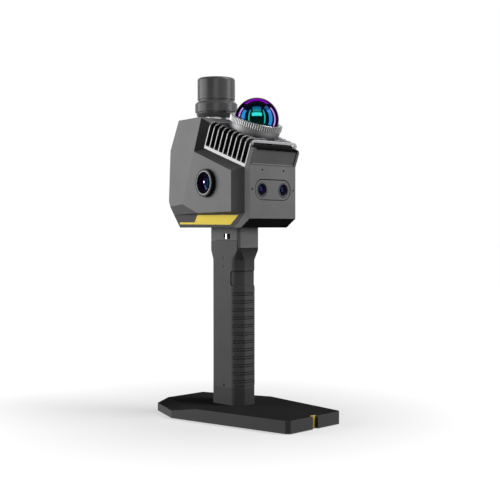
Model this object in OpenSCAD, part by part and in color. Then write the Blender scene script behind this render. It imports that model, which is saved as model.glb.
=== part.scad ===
// Handheld laser scanner standing on its ground plate. A faceted head carries a tilted,
// finned heat sink with a domed laser unit, a mast antenna, two side cameras and a pair of
// front cameras. The battery sits in the grip, which a bolt holds to the plate.
// Millimetres, +Z up, the front faces -Y. The origin is on the floor, on the grip's axis.

/* [Ground plate] */
// Height of the plate's top above the floor
plate_h = 14.5; // [12:0.5:20]
// Distance from the grip's axis forward to the plate's front edge
plate_front = 122.6; // [105:0.2:140]
// Distance from the grip's axis back to the plate's rear edge
plate_rear = 83.5; // [72:0.5:100]
// Half width of the plate at its front edge
plate_nose_half = 43.5; // [36:0.5:55]
// Half width of the plate at its widest
plate_half = 65.8; // [58:0.2:80]
// Distance of the widest place behind the grip's axis
plate_wide_y = 35; // [20:1:55]
// Half width of the plate at its rear edge
plate_tail_half = 44.4; // [34:0.2:54]
// Chamfer of the two front corners
plate_chamfer = 4; // [3.5:0.5:8]
// Slope of the bevels on the two rear corners, in degrees
bevel_slope = 17; // [8:1:20]
// Half width of the flat that is left between the bevels at the rear edge
bevel_tail_half = 28; // [22:1:34]
// Width of the aiming notch in the front edge
notch_w = 8; // [5:0.5:14]
// Depth of the aiming notch
notch_d = 3.5; // [2:0.1:6]
// Thickness of the coloured mark at the back of the notch
mark_t = 1.2; // [0.6:0.1:2]
// Thickness of the rubber sole
sole_t = 1.6; // [1.2:0.1:2.4]
// How far the sole stands out below the plate
sole_proud = 0.8; // [0.4:0.1:1]
// Margin of the sole inside the plate's outline
sole_margin = 5.5; // [5:0.5:6.5]
// Radius of the bolts that hold the grip to the plate
bolt_r = 3; // [2:0.1:4]
// Length of the bolts' shanks
bolt_l = 22; // [18:1:28]
// Distance of each bolt from the grip's axis
bolt_y = 13; // [10:0.5:14]

/* [Grip] */
// Width of the grip across the hand
grip_w = 34; // [32:0.5:38]
// Depth of the grip from front to rear
grip_d = 48; // [46:0.5:54]
// Chamfer of the grip's front corners
grip_front_chamfer = 9; // [6:0.5:10]
// Chamfer of the grip's rear corners
grip_rear_chamfer = 6.5; // [4:0.5:8]
// Rounding of the grip's long edges
grip_edge_r = 3; // [1:0.5:3.5]
// Extra rounding where the front chamfers meet the sides
grip_cheek_r = 6; // [0:0.5:8]
// Wall of the grip tube
grip_wall = 2.6; // [2.2:0.1:3]
// Height of the collar at the grip's foot
foot_h = 18.9; // [14:0.1:26]
// Height of the foot's spigot inside the tube
foot_spigot_h = 7.6; // [6:0.2:10]
// Height of the flare's lower end above the neck core's lower end
flare_rise = 6.2; // [5:0.1:9]
// Height of the flare
flare_h = 9.8; // [6:0.1:13]
// Height of the rubber's lower end above the collar
rubber_rise = 3.6; // [3:0.1:25]
// Gap between the rubber and the trigger above it
rubber_gap = 2.4; // [2:0.1:20]
// Thickness of the ribbed rubber
rubber_t = 1.8; // [1.4:0.1:2.2]
// How far the rubber stands out of the tube
rubber_proud = 0.3; // [0.1:0.1:0.6]
// Distance of the rubber's side edge in front of the grip's axis
rubber_edge_y = 11.4; // [8:0.2:14]
// Distance between two pairs of grooves in the rubber
rib_pitch = 9; // [8:0.2:14]
// Distance between the two grooves of a pair
rib_gap = 2.5; // [1.6:0.1:4]
// Width of one groove
rib_groove_w = 1; // [0.5:0.1:1.4]
// Depth of one groove
rib_groove_d = 1; // [0.3:0.1:1.2]

/* [Battery] */
// Length of one cell; its radius follows from the room in the grip
cell_l = 65; // [60:0.5:66]
// Room above the battery
battery_slack = 1.2; // [0.8:0.1:2]

/* [Trigger] */
// How far the trigger's lower edge lies below the neck core's lower end
trigger_drop = 24; // [20:0.2:26]
// Height of the trigger
trigger_h = 16.6; // [12:0.2:18]
// Distance of the trigger's side edge in front of the grip's axis
trigger_edge_y = 11.5; // [11:0.1:14]
// Thickness of the trigger's skin
trigger_t = 2; // [1.6:0.1:2.2]
// How far the trigger's skin lies below the tube's surface
trigger_sunk = 0.6; // [0.4:0.1:1]
// How far the trigger can be pressed
trigger_travel = 0.7; // [0.6:0.1:1.2]
// Least room for the springs behind the trigger
spring_room = 2.8; // [2.6:0.1:3.2]

/* [Neck] */
// Height of the straight part between the flare and the neck's seam at the sides
neck_land = 11.1; // [9:0.1:13]
// How far the same seam lies lower on the front
skirt_drop = 8.4; // [5:0.1:10]
// Height of the neck between that seam at the sides and the head
neck_h = 14.5; // [13:0.1:18]
// Chamfer of the neck's corners
neck_chamfer = 3; // [2:0.5:4]
// Length of the strap slots in the neck's sides
strap_slot_l = 10; // [9:0.5:14]
// Height of the strap slots
strap_slot_h = 6; // [5.4:0.2:7]
// Depth of the strap slots
strap_slot_d = 5.5; // [5:0.1:6]
// Radius of the bar in each strap slot
strap_pin_r = 1.3; // [1:0.1:1.6]

/* [Head] */
// Height of the head
head_h = 124.4; // [120:0.2:130]
// Distance of the front face in front of the grip's axis
head_front = 60.3; // [58:0.1:63]
// Distance of the rear face behind the grip's axis
head_rear = 78.6; // [76:0.2:84]
// Half width of the front face
front_half = 37; // [36:0.2:38]
// Half width of the frame between the side covers
frame_half = 25; // [23:0.5:26]
// Wall of the frame
frame_wall = 3; // [2.6:0.1:3.6]
// Wall of the covers
cover_wall = 2.4; // [2:0.1:2.8]
// Half width of the side covers on the grip's axis, where the cameras sit
cover_half = 42.9; // [42:0.1:44]
// Depth of the front cover's side walls
front_cover_d = 7.7; // [6:0.1:9]
// Height of the slanted underside at the front
chin_h = 9.9; // [7:0.1:13]
// Depth of the slanted underside at the front
chin_d = 13.4; // [10:0.1:17]

/* [Heat sink] */
// Lean of the heat sink and the laser unit, in degrees
tilt = 20.5; // [18:0.5:23]
// Distance in front of the grip's axis at which the laser axis meets the heat sink's top
tilt_front = 30.4; // [28:0.1:33]
// How far that point lies below the head's top
tilt_drop = 17.1; // [14:0.1:20]
// Height of the heat sink, square to its top
sink_h = 31.3; // [29:0.1:33]
// Number of fins, the front one included
fin_n = 10; // [8:1:10]
// Distance between fins
fin_pitch = 7.5; // [7:0.1:7.6]
// Thickness of a fin
fin_t = 1.5; // [1.2:0.1:2.6]
// Depth of the grooves between the fins
fin_d = 7.5; // [5:0.1:8]
// Radius of the fins' upper corners
fin_r = 6; // [3:0.5:7]
// Height of the plain ledge below the grooves
ledge_h = 3.6; // [2:0.1:6]
// Height of the lip over the front cover
lip_h = 3; // [2:0.1:4]
// Rounding of the brow's upper corners
brow_corner_r = 5; // [3:0.1:6]

/* [Laser unit] */
// Radius of the dome
dome_r = 24.8; // [24:0.1:25.4]
// Wall of the dome
dome_t = 1.8; // [1.4:0.1:2.4]
// Radius of the knurled ring
ring_r = 30; // [29:0.1:31]
// Height of the knurled ring
ring_h = 7; // [6:0.1:8]
// Height of the cup below the ring, above the fins
cup_h = 7.2; // [6:0.1:9]
// Number of flutes in the knurled ring
flute_n = 72; // [24:2:76]
// Depth of the flutes
flute_d = 0.5; // [0.2:0.1:0.8]

/* [Antenna] */
// Distance of the antenna's axis behind the grip's axis
antenna_y = 30; // [28:0.5:32]
// Radius of the cap
antenna_r = 21.85; // [20:0.05:23]
// Radius of the collar
collar_r = 24.6; // [23.5:0.1:26]
// Top of the cap above the head
antenna_h = 48.9; // [44:0.1:60]
// Height of the collar's lower end above the head
collar_z = 9; // [8:0.2:11]
// Height of the collar's upper end above the head
collar_top = 21.2; // [18:0.2:24]

/* [Cameras] */
// Height of the side cameras' axis above the head's underside
side_camera_rise = 49.9; // [47:0.1:53]
// Distance of the side cameras' axis behind the grip's axis
side_camera_y = 1; // [-1:0.2:3]
// Radius of the side cameras' barrel
barrel_r = 15.7; // [14:0.1:17]
// How far the barrel stands out of the cover
barrel_out = 5; // [3:0.1:7]
// Radius of the side cameras' front glass
side_lens_r = 11.8; // [10:0.1:12.5]
// Height of the front cameras' axes above the head's underside
front_camera_rise = 41.5; // [39:0.1:43]
// Distance of each front camera from the middle
front_camera_x = 17.1; // [16:0.1:18]
// Radius of the front camera plate's ends
camera_plate_r = 11.4; // [10.5:0.1:12]
// Radius of the front cameras' glass
front_lens_r = 6; // [5:0.1:7]
// Radius of the rings round the front cameras' glass
front_ring_r = 8.3; // [8:0.1:9]

/* [Rear panel] */
// Height of the power button's axis above the head's underside
button_rise = 70.4; // [68:0.2:72]
// Radius of the power button
button_r = 6.5; // [5:0.1:8]
// How far the power button can be pressed
button_travel = 1; // [0.6:0.1:1.4]
// Width of the flap over the port
flap_w = 32; // [28:0.5:38]
// Height of the flap
flap_h = 18; // [16:0.5:20]
// Thickness of the flap
flap_t = 2.2; // [1.8:0.1:2.4]
// Height of the flap's hinge above the head's underside
flap_rise = 36.9; // [35.5:0.1:38.5]
// How far the flap opens, in degrees
flap_open = 90; // [60:5:90]

/* [Fits] */
// Gap between fixed parts that touch along a seam
seam = 0.2; // [0.1:0.05:0.3]
// Gap round parts that are pressed or swung
move_gap = 0.3; // [0.2:0.05:0.4]
// Running clearance of a shaft in its bore
run_gap = 0.05; // [0.02:0.01:0.08]

/* [Hidden] */

$fn = 64;
cut = 1;                              // overrun of every cut
rounding_steps = 4;                   // facets in a rounded edge
lens_steps = 6;                       // steps across a bulging glass

// Derived places
plate_z = sole_proud;                             // underside of the plate
bevel_side_half = plate_nose_half
    + (plate_half - plate_nose_half)*plate_front/(plate_front + plate_wide_y);
foot_top = plate_h + foot_h;
spigot_top = foot_top + foot_spigot_h;
contact_t = 0.6;                                  // thickness of the battery's contacts
battery_top = spigot_top + 2*cell_l + 3*contact_t;
core_z = battery_top + battery_slack;             // lower end of the neck's core
rubber_z0 = foot_top + rubber_rise;
trigger_z0 = core_z - trigger_drop;
rubber_z1 = trigger_z0 - rubber_gap;
flare_z = core_z + flare_rise;
neck_z = flare_z + flare_h + neck_land;           // seam between grip and neck at the sides
skirt_z = neck_z - skirt_drop;                    // the same seam on the front
head_bottom = neck_z + neck_h;
head_top = head_bottom + head_h;
reach = 2*head_top;                               // size of the blocks that cut a facet
side_camera_z = head_bottom + side_camera_rise;
front_camera_z = head_bottom + front_camera_rise;
button_z = head_bottom + button_rise;
flap_z = head_bottom + flap_rise;
tilt_y = -tilt_front;
tilt_z = head_top - tilt_drop;
sink_u1 = 33.2;                                   // rear end of the heat sink, along the tilt
sink_u0 = sink_u1 - (fin_n - 1)*fin_pitch - fin_t; // front end of the heat sink
sink_room = 2.3;                                  // gap between the last fin and the head's wall
slot_u = sink_u1 + sink_room;
brow_reach = 6;                                   // how far the brow stands before the heat sink
brow_u = sink_u0 - brow_reach;                    // front of the brow
brow_drop = 6.3;                                  // brow's edge below the heat sink's top
dome_n = cup_h + ring_h;                          // dome's centre above the heat sink's top
core_half = front_half - fin_d;                   // half width of the heat sink's core

// Basic helpers
function unit(v) = v/norm(v);
// Direction that leans yaw degrees from +X towards +Y and pitch degrees up
function aim(yaw, pitch) = [cos(yaw)*cos(pitch), sin(yaw)*cos(pitch), sin(pitch)];
// Height and depth of a point given along and square to the tilted top
function tilted_yz(u, n) = [tilt_y + u*cos(tilt) - n*sin(tilt), tilt_z + u*sin(tilt) + n*cos(tilt)];
// Outline with each edge moved inwards by d, for points that run anticlockwise
function inset(p, d) = [for (i = [0:len(p) - 1]) let(
    e1 = unit(p[i] - p[(i + len(p) - 1)%len(p)]), e2 = unit(p[(i + 1)%len(p)] - p[i]),
    n1 = [-e1.y, e1.x], n2 = [-e2.y, e2.x]) p[i] + d*(n1 + n2)/(1 + n1*n2)];
// Outline with every corner rounded to radius r, and the corners 3 and 6 by more
function soft(p, r, more = 0) = [for (i = [0:len(p) - 1]) let(
    a = unit(p[(i + len(p) - 1)%len(p)] - p[i]), c = unit(p[(i + 1)%len(p)] - p[i]),
    half = acos(a*c)/2, q = r + (i == 3 || i == 6 ? more : 0), o = p[i] + unit(a + c)*q/sin(half),
    v1 = p[i] + a*q/tan(half) - o, v2 = p[i] + c*q/tan(half) - o, turn = 180 - 2*half)
    for (k = [0:rounding_steps]) let(s = k/rounding_steps)
        o + (v1*sin((1 - s)*turn) + v2*sin(s*turn))/sin(turn)];
// Rectangle with half sizes hx and hy and its own chamfers at front and rear
function chamfered(hx, hy, cf, cr) = [[hx - cr, hy], [cr - hx, hy], [-hx, hy - cr], [-hx, cf - hy],
    [cf - hx, -hy], [hx - cf, -hy], [hx, cf - hy], [hx, hy - cr]];
// The grip's outline, drawn in by d
function grip_outline(d) = inset(chamfered(grip_w/2, grip_d/2, grip_front_chamfer, grip_rear_chamfer), d);
function neck_outline(d) = inset(chamfered(grip_w/2, grip_d/2, neck_chamfer, neck_chamfer), d);
// Box with its corners given
module block(lo, hi) translate(lo) cube(hi - lo);
// Outline drawn in (Y, Z) and carried across X to both sides
module across(half) rotate([90, 0, 90]) linear_extrude(2*half, center = true) children();
// Outline drawn in (X, Y) between two heights
module rise(z0, z1) translate([0, 0, z0]) linear_extrude(z1 - z0) children();
// Everything beyond a plane through p that faces along n
module beyond(p, n) translate(p) rotate([0, acos(n.z/norm(n)), atan2(n.y, n.x)])
    translate([-reach, -reach, 0]) cube([2*reach, 2*reach, reach]);
// Frame of the heat sink and the laser unit: X across, Y along the slope, Z square to it
module tilted() translate([0, tilt_y, tilt_z]) rotate([tilt, 0, 0]) children();
// Both sides of the scanner
module both() for (s = [0, 1]) mirror([s, 0, 0]) children();
// Rods that start at the origin
module rod_x(r, l) rotate([0, 90, 0]) cylinder(r = r, h = l);
module rod_y(r, l) rotate([-90, 0, 0]) cylinder(r = r, h = l);
// Tube round Z
module ring(r1, r0, h) difference() {
    cylinder(r = r1, h = h);
    translate([0, 0, -cut]) cylinder(r = r0, h = h + 2*cut);
}
// Glass with a flat back, h thick at its rim, whose front bulges
module lens(r, h, bulge) rotate_extrude() polygon(concat([[0, 0], [r, 0]],
    [for (i = [0:lens_steps]) let(s = 1 - i/lens_steps) [r*s, h + bulge*(1 - s*s)]]));

// Ground plate
mark_back = notch_d + mark_t;                     // depth of the notch with its mark
bolt_head_r = 5;
bolt_head_h = 6;
bolt_socket_r = 2.9;
bolt_sunk = 0.6;                                  // depth of the bolt's head above the sole
bolt_play = 0.3;
bolt_seat_z = sole_t + bolt_sunk + bolt_head_h;
bolt_tip_gap = 1;
plate_outline = [[plate_tail_half, plate_rear], [-plate_tail_half, plate_rear],
    [-plate_half, plate_wide_y], [-plate_nose_half, plate_chamfer - plate_front],
    [plate_chamfer - plate_nose_half, -plate_front], [plate_nose_half - plate_chamfer, -plate_front],
    [plate_nose_half, plate_chamfer - plate_front], [plate_half, plate_wide_y]];
bevel_turn = atan2(bevel_side_half - bevel_tail_half, plate_rear);
module at_bolts() for (k = [-1, 1]) translate([0, k*bolt_y, 0]) children();

module base_plate() color("#242426") difference() {
    rise(plate_z, plate_h) polygon(plate_outline);
    both() beyond([bevel_tail_half, plate_rear, plate_h], aim(bevel_turn, 90 - bevel_slope));
    block([-notch_w/2, -plate_front - cut, 0], [notch_w/2, mark_back - plate_front, plate_h + cut]);
    rise(plate_z - cut, sole_t) polygon(inset(plate_outline, sole_margin));
    at_bolts() {
        cylinder(r = bolt_r + bolt_play, h = plate_h + cut);
        cylinder(r = bolt_head_r + bolt_play, h = bolt_seat_z);
    }
}
module ground_mark() color("#c8a62c")
    block([-notch_w/2, notch_d - plate_front, plate_z], [notch_w/2, mark_back - plate_front, plate_h]);
module base_sole() color("#1a1a1b") difference() {
    rise(0, sole_t) polygon(inset(plate_outline, sole_margin + seam));
    at_bolts() translate([0, 0, -cut]) cylinder(r = bolt_head_r + bolt_play, h = sole_t + 2*cut);
}
module base_bolts() color("#8d8f92") at_bolts() difference() {
    union() {
        translate([0, 0, bolt_seat_z - bolt_head_h]) cylinder(r = bolt_head_r, h = bolt_head_h);
        translate([0, 0, bolt_seat_z]) cylinder(r = bolt_r, h = bolt_l);
    }
    translate([0, 0, bolt_seat_z - bolt_head_h - cut])
        cylinder(r = bolt_socket_r, h = bolt_head_h/2 + cut, $fn = 6);
}

// Grip
leg_t = 3;                                        // thickness of the neck core's legs
screw_head_r = 1.7;
screw_head_h = 1.4;
screw_r = 1;
screw_sunk = 0.3;
screw_l = grip_wall + seam + leg_t - screw_sunk;
foot_screw_rise = 3;                              // side screw's height above the collar
leg_screw_drop = 2.3;                             // leg screw's height below the neck's core
core_screw_rise = 6.9;                            // core screw's height above its lower end
side_screw_z = [foot_top + foot_screw_rise, core_z - leg_screw_drop, core_z + core_screw_rise];
module grip_polygon(d) polygon(soft(grip_outline(d), grip_edge_r, grip_cheek_r));
module neck_polygon(d) polygon(soft(neck_outline(d), grip_edge_r/2));
module at_side_screws(zs) for (z = zs) both() translate([grip_w/2 - screw_sunk, 0, z])
    rotate([0, -90, 0]) children();
module screw_hole(gap) {
    translate([0, 0, -screw_sunk - cut]) cylinder(r = screw_head_r + gap, h = screw_head_h + screw_sunk + cut);
    cylinder(r = screw_r + gap, h = screw_l + gap);
}
module handle_foot() color("#2b2b2d") difference() {
    union() {
        rise(plate_h, foot_top) grip_polygon(0);
        rise(foot_top, spigot_top) grip_polygon(grip_wall + seam);
    }
    at_bolts() translate([0, 0, plate_h - cut])
        cylinder(r = bolt_r + run_gap, h = bolt_seat_z + bolt_l - plate_h + bolt_tip_gap + cut);
    at_side_screws([side_screw_z[0]]) screw_hole(run_gap);
}
// Side view of a patch that wraps round the grip's front
patch_r = 3;
module front_patch(edge_y, z0, z1) across(grip_w) polygon(soft([[-edge_y, z0], [-edge_y, z1],
    [-grip_d, z1], [-grip_d, z0]], patch_r));
module rubber_bed(d) difference() {
    rise(rubber_z0, rubber_z1) grip_polygon(-d);
    rise(rubber_z0 - cut, rubber_z1 + cut) grip_polygon(rubber_t - rubber_proud);
}
module grip_tube() color("#565658") difference() {
    union() {
        rise(foot_top + seam, flare_z) grip_polygon(0);
        hull() {
            rise(flare_z - cut, flare_z) grip_polygon(0);
            rise(flare_z + flare_h, flare_z + flare_h + cut) neck_polygon(0);
        }
        rise(flare_z + flare_h, neck_z) neck_polygon(0);
    }
    rise(foot_top - cut, neck_z + cut) grip_polygon(grip_wall);
    intersection() {
        rubber_bed(cut);
        front_patch(rubber_edge_y, rubber_z0, rubber_z1);
    }
    front_patch(trigger_edge_y - trigger_travel - move_gap, trigger_z0 - move_gap,
        trigger_z0 + trigger_h + move_gap);
    block([-grip_w, -grip_d, skirt_z], [grip_w, grip_wall - grip_d/2, neck_z + cut]);
    at_side_screws(side_screw_z) screw_hole(seam/2);
}
rib_drop = 7;                                     // first pair of grooves below the rubber's top
rib_margin = 4;                                   // least height of the last pair above its foot
rib_edge = 2.6;                                   // plain border beside the grooves
rib_n = floor((rubber_z1 - rubber_z0 - rib_drop - rib_margin)/rib_pitch) + 1;
module rib_grooves() for (i = [0:rib_n - 1], k = [-1, 1])
    let(z = rubber_z1 - rib_drop - i*rib_pitch + k*rib_gap/2) difference() {
        rise(z - rib_groove_w/2, z + rib_groove_w/2) polygon(grip_outline(-rubber_proud - cut));
        rise(z - rib_groove_w, z + rib_groove_w) grip_polygon(rib_groove_d - rubber_proud);
        block([-grip_w, -rubber_edge_y - rib_edge, z - grip_w], [grip_w, grip_d, z + grip_w]);
    }
module grip_rubber() color("#3c3c3e") difference() {
    intersection() {
        rubber_bed(rubber_proud);
        front_patch(rubber_edge_y, rubber_z0, rubber_z1);
    }
    rib_grooves();
}
module screw(r, h, shank_r, l) difference() {
    union() {
        cylinder(r = r, h = h);
        cylinder(r = shank_r, h = l);
    }
    translate([0, 0, -cut]) cylinder(r = r/2, h = cut + h*2/3, $fn = 6);
}
module grip_screws() color("#1b1b1c") at_side_screws(side_screw_z)
    screw(screw_head_r, screw_head_h, screw_r, screw_l);

// Battery
web_t = 1;                                        // thickness of the trigger's inner plate
web_back = -grip_d/2 + grip_wall + move_gap + web_t;
cell_play = 0.15;
cell_gap = 0.6;                                   // wall between two cells
holder_wall = 0.6;
holder_side = 1.2;
holder_chamfer = 2;
holder_gap = 0.1;                                 // holder's gap to the tube's rear wall
leg_gap = 0.8;                                    // holder's gap to the neck core's legs
// The largest cells that leave the springs and the legs their room
cell_r = min((grip_d/2 - grip_wall - holder_gap - web_back - spring_room - 2*holder_wall - cell_gap)/4,
    grip_w/2 - grip_wall - seam - leg_t - leg_gap - holder_side);
contact_in = 3.2;
contact_r = cell_r - contact_in;
holder_half_d = 2*cell_r + cell_gap/2 + holder_wall;
battery_y = grip_d/2 - grip_wall - holder_gap - holder_half_d;
holder_front = battery_y - holder_half_d;
module at_cells() for (k = [-1, 1]) translate([0, battery_y + k*(cell_r + cell_gap/2), 0]) children();
module battery_cells() color("#3f7fb5") at_cells() for (i = [0, 1])
    translate([0, 0, spigot_top + contact_t + i*(cell_l + contact_t)]) cylinder(r = cell_r, h = cell_l);
module battery_holder() color("#d9d6cc") difference() {
    translate([0, battery_y, 0]) rise(spigot_top, battery_top)
        polygon(chamfered(cell_r + holder_side, holder_half_d, holder_chamfer, holder_chamfer));
    at_cells() rise(spigot_top - cut, battery_top + cut) circle(r = cell_r + cell_play);
}
module battery_contacts() color("#c9a24a") at_cells() for (i = [0:2])
    translate([0, 0, spigot_top + i*(cell_l + contact_t)]) cylinder(r = contact_r, h = contact_t);

// Trigger
web_lap = 1.5;                                   // how far the inner plate reaches behind the tube
switch_w = 6;
switch_h = 1.3;
plunger_r = 1.6;
spring_wire = 0.5;
spring_turns = 3;
trigger_spring_r = 1.9;                           // inside radius, as of the power spring
trigger_spring_z = 6.2;                           // springs' distance from the trigger's middle
trigger_mid = trigger_z0 + trigger_h/2;
trigger_z1 = trigger_z0 + trigger_h;
trigger_gap = holder_front - web_back;
module ahead_of(y) block([-grip_w, -grip_d, 0], [grip_w, y, head_top]);
module trigger() color("#4a4a4c") {
    intersection() {
        difference() {
            rise(trigger_z0, trigger_z1) grip_polygon(trigger_sunk);
            rise(trigger_z0 - cut, trigger_z1 + cut) difference() {
                grip_polygon(trigger_sunk + trigger_t);
                translate([0, web_back - grip_d/2]) square([2*grip_w, grip_d], center = true);
            }
        }
        front_patch(trigger_edge_y, trigger_z0, trigger_z1);
    }
    intersection() {
        rise(trigger_z0 - web_lap, trigger_z1 + web_lap) grip_polygon(grip_wall + move_gap);
        ahead_of(web_back);
    }
}
// Closed tube of six sides along a helix round Z, l long with its wire, that leaves radius r free
coil_steps = 12;                                  // rings in one turn
function coil_ring(a, r, wire, l, turns) = let(s = a/(360*turns), o = [cos(a), sin(a), 0])
    [for (k = [0:5]) o*(r + wire/2)/cos(180/coil_steps) + [0, 0, wire/2 + s*(l - wire)]
        + (o*cos(60*k) + [0, 0, sin(60*k)])*wire/2];
module coil(r, wire, l, turns) {
    n = coil_steps*turns;
    polyhedron([for (i = [0:n]) each coil_ring(i*360/coil_steps, r, wire, l, turns)],
        concat([[for (k = [0:5]) 5 - k]], [[for (k = [0:5]) 6*n + k]],
            [for (i = [0:n - 1], k = [0:5]) let(a = 6*i + k, b = 6*i + (k + 1)%6) each
                [[a, b, a + 6], [b, b + 6, a + 6]]]));
}
module trigger_springs() color("#b9bbbe") for (k = [-1, 1])
    translate([0, holder_front, trigger_mid + k*trigger_spring_z]) rotate([90, 0, 0])
        coil(trigger_spring_r, spring_wire, trigger_gap, spring_turns);
// Small push switch that looks along +Z and gives way when a plate gap away has come down by travel
module push_switch(gap, travel) {
    block([-switch_w/2, -switch_w/2, 0], [switch_w/2, switch_w/2, switch_h]);
    translate([0, 0, switch_h]) cylinder(r = plunger_r, h = gap - travel - run_gap - switch_h);
}
module push_switches() color("#2f2f31") {
    translate([0, holder_front, trigger_mid]) rotate([90, 0, 0]) push_switch(trigger_gap, trigger_travel);
    translate([0, boss_end_y, button_z]) rotate([-90, 0, 0]) {
        push_switch(button_gap, button_travel);
        translate([0, 0, -switch_board_t]) cylinder(r = boss_r, h = switch_board_t);
    }
}

// Neck
leg_half_y = 7;
leg_foot = 3.5;                                   // leg's end below its screw
leg_x = grip_w/2 - grip_wall - seam;              // outer face of the legs
leg_z = side_screw_z[1] - leg_foot;
slot_wall = 1.5;                                  // neck's wall behind a strap slot
stem_wall = 5.5;                                  // neck's wall at front and rear
stem_half_x = grip_w/2 - strap_slot_d - slot_wall; // core's half width inside the neck block
stem_half_y = grip_d/2 - stem_wall;
cable_r = 5;
neck_screw_in_x = 2.8;                            // screws' distances from the stem's faces
neck_screw_in_y = 4.5;
neck_screw_x = stem_half_x - neck_screw_in_x;
neck_screw_y = stem_half_y - neck_screw_in_y;
neck_screw_r = 2;
neck_screw_head_r = 3.4;
neck_screw_head_h = 2.6;
neck_screw_l = 12;
strap_slot_rise = 1.6;                            // slot's lower edge above the seam
strap_slot_z = neck_z + strap_slot_rise;
strap_slot_y = -5;                               // middle of the strap slot
strap_bar_in = 2.6;                               // bar's distance from the slot's rear end
strap_bar_y = strap_slot_y + strap_slot_l/2 - strap_bar_in;
strap_bar_x = grip_w/2 - strap_pin_r - screw_sunk;
module at_neck_screws() for (x = [-1, 1], y = [-1, 1])
    translate([x*neck_screw_x, y*neck_screw_y, head_bottom]) children();
module neck_core() color("#9fa1a4") difference() {
    union() {
        rise(core_z, neck_z) grip_polygon(grip_wall + seam);
        rise(neck_z - cut, head_bottom) square([2*stem_half_x, 2*stem_half_y], center = true);
        both() block([leg_x - leg_t, -leg_half_y, leg_z], [leg_x, leg_half_y, core_z + cut]);
    }
    rise(core_z - cut, head_bottom + cut) circle(r = cable_r);
    at_side_screws([side_screw_z[1], side_screw_z[2]]) screw_hole(run_gap);
    at_neck_screws() translate([0, 0, -neck_screw_l - cut])
        cylinder(r = neck_screw_r + run_gap, h = neck_screw_l + 2*cut);
}
module neck_block() color("#4f4f51") difference() {
    union() {
        rise(neck_z + seam, head_bottom) neck_polygon(0);
        intersection() {
            rise(skirt_z + seam, neck_z + seam + cut) neck_polygon(0);
            ahead_of(grip_wall - grip_d/2);
        }
    }
    rise(neck_z - cut, head_bottom + cut)
        square([2*(stem_half_x + seam), 2*(stem_half_y + seam)], center = true);
    both() block([grip_w/2 - strap_slot_d, strap_slot_y - strap_slot_l/2, strap_slot_z],
        [grip_w, strap_slot_y + strap_slot_l/2, strap_slot_z + strap_slot_h]);
}
module strap_pins() color("#d5d7da") both() translate([strap_bar_x, strap_bar_y, strap_slot_z])
    cylinder(r = strap_pin_r, h = strap_slot_h);
module neck_screws() color("#77797c") at_neck_screws() translate([0, 0, frame_wall + neck_screw_head_h])
    rotate([180, 0, 0]) screw(neck_screw_head_r, neck_screw_head_h, neck_screw_r,
        neck_screw_head_h + frame_wall + neck_screw_l - cut);

// Outline of the head, seen from the side and anticlockwise in (Y, Z)
tail_in = 16;                                     // lower rear slope, its depth
tail_rise = 31.4;                                 // and its height
crown_in = 17.3;                                  // upper rear slope, its depth
crown_drop = 34;                                  // and its height
crown_y = 12;                                     // front edge of the flat top
seam_y = front_cover_d - head_front;              // seam between the front and side covers
seam_rise = 16;                                   // height at which that seam turns back
seam_run = 10;                                    // depth over which it then runs back
seam_foot = 4.1;                                  // its height there
foot_run = 4.6;                                   // the last stretch of it
foot_rise = 2.2;
ledge_gap = 0.3;                                  // gap between the covers and the heat sink
step_n = (head_top - crown_y + tilted_yz(slot_u, 0).x - tilted_yz(slot_u, 0).y)/(cos(tilt) + sin(tilt));
// Point at depth y on the line just below the heat sink
function ledge_point(y) = tilted_yz((y - tilt_y - (sink_h + ledge_gap)*sin(tilt))/cos(tilt),
    -sink_h - ledge_gap);
tail_foot = [head_rear - tail_in, head_bottom];
tail_top = [head_rear, head_bottom + tail_rise];
crown_foot = [head_rear, head_top - crown_drop];
crown_top = [head_rear - crown_in, head_top];
// The seam's turning points from its upper end down, moved back by d
function seam_line(d) = [[seam_y + d, head_bottom + seam_rise],
    [seam_y + d + seam_run, head_bottom + seam_foot],
    [seam_y + d + seam_run + foot_run, head_bottom + foot_rise],
    [seam_y + d + seam_run + foot_run, head_bottom]];
head_side = concat([seam_line(seam)[3], tail_foot, tail_top, crown_foot, crown_top,
    [crown_y, head_top], tilted_yz(slot_u, step_n), tilted_yz(slot_u, -sink_h - ledge_gap),
    ledge_point(seam_y + seam)], [for (i = [0:2]) seam_line(seam)[i]]);
// The rear slopes carried on past the head, for offsets of the rear face alone
rear_big = [[-2*head_front, 2*tail_foot.y - tail_top.y], 2*tail_foot - tail_top, tail_top, crown_foot,
    2*crown_top - crown_foot, [-2*head_front, 2*crown_top.y - crown_foot.y]];
rear_t = 3;                                       // thickness of the rear cover
module head_polygon(d, rear_d) intersection() {
    polygon(inset(head_side, d));
    polygon(inset(rear_big, rear_d));
}

// Boards
board_half = 22;
board_t = 1.6;
board_rise = 38.4;                                // main board's height in the head
board_front_gap = 6.6;                            // its distances from the head's ends
board_rear_gap = 10.6;
board_z = head_bottom + board_rise;
board_y0 = seam_y + board_front_gap;
board_y1 = head_rear - board_rear_gap;
post_r = 2.5;
post_in = 3.5;                                    // posts' distance from the board's edges
shelf_drop = 5.5;
shelf_z = board_z - shelf_drop;                   // top of the shelf under the main board
shelf_t = 2.5;
port_w = 9;
port_h = 3.3;
port_l = 7.5;
port_wall = 0.35;
port_tongue = 0.7;
bay_d = 4.5;                                      // depth of the bay behind the flap
bay_floor_y = head_rear - flap_t - bay_d;
sensor_w = 16;
sensor_h = 5;
sensor_y = 40;
receiver_half = 20;
receiver_drop = 10.6;                             // receiver board below the head's top
receiver_front = 14;                              // its reach before and behind the antenna's axis
receiver_rear = 24;
receiver_z = head_top - receiver_drop;
receiver_y0 = antenna_y - receiver_front;
receiver_y1 = antenna_y + receiver_rear;
chip_h = 1.4;
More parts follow.
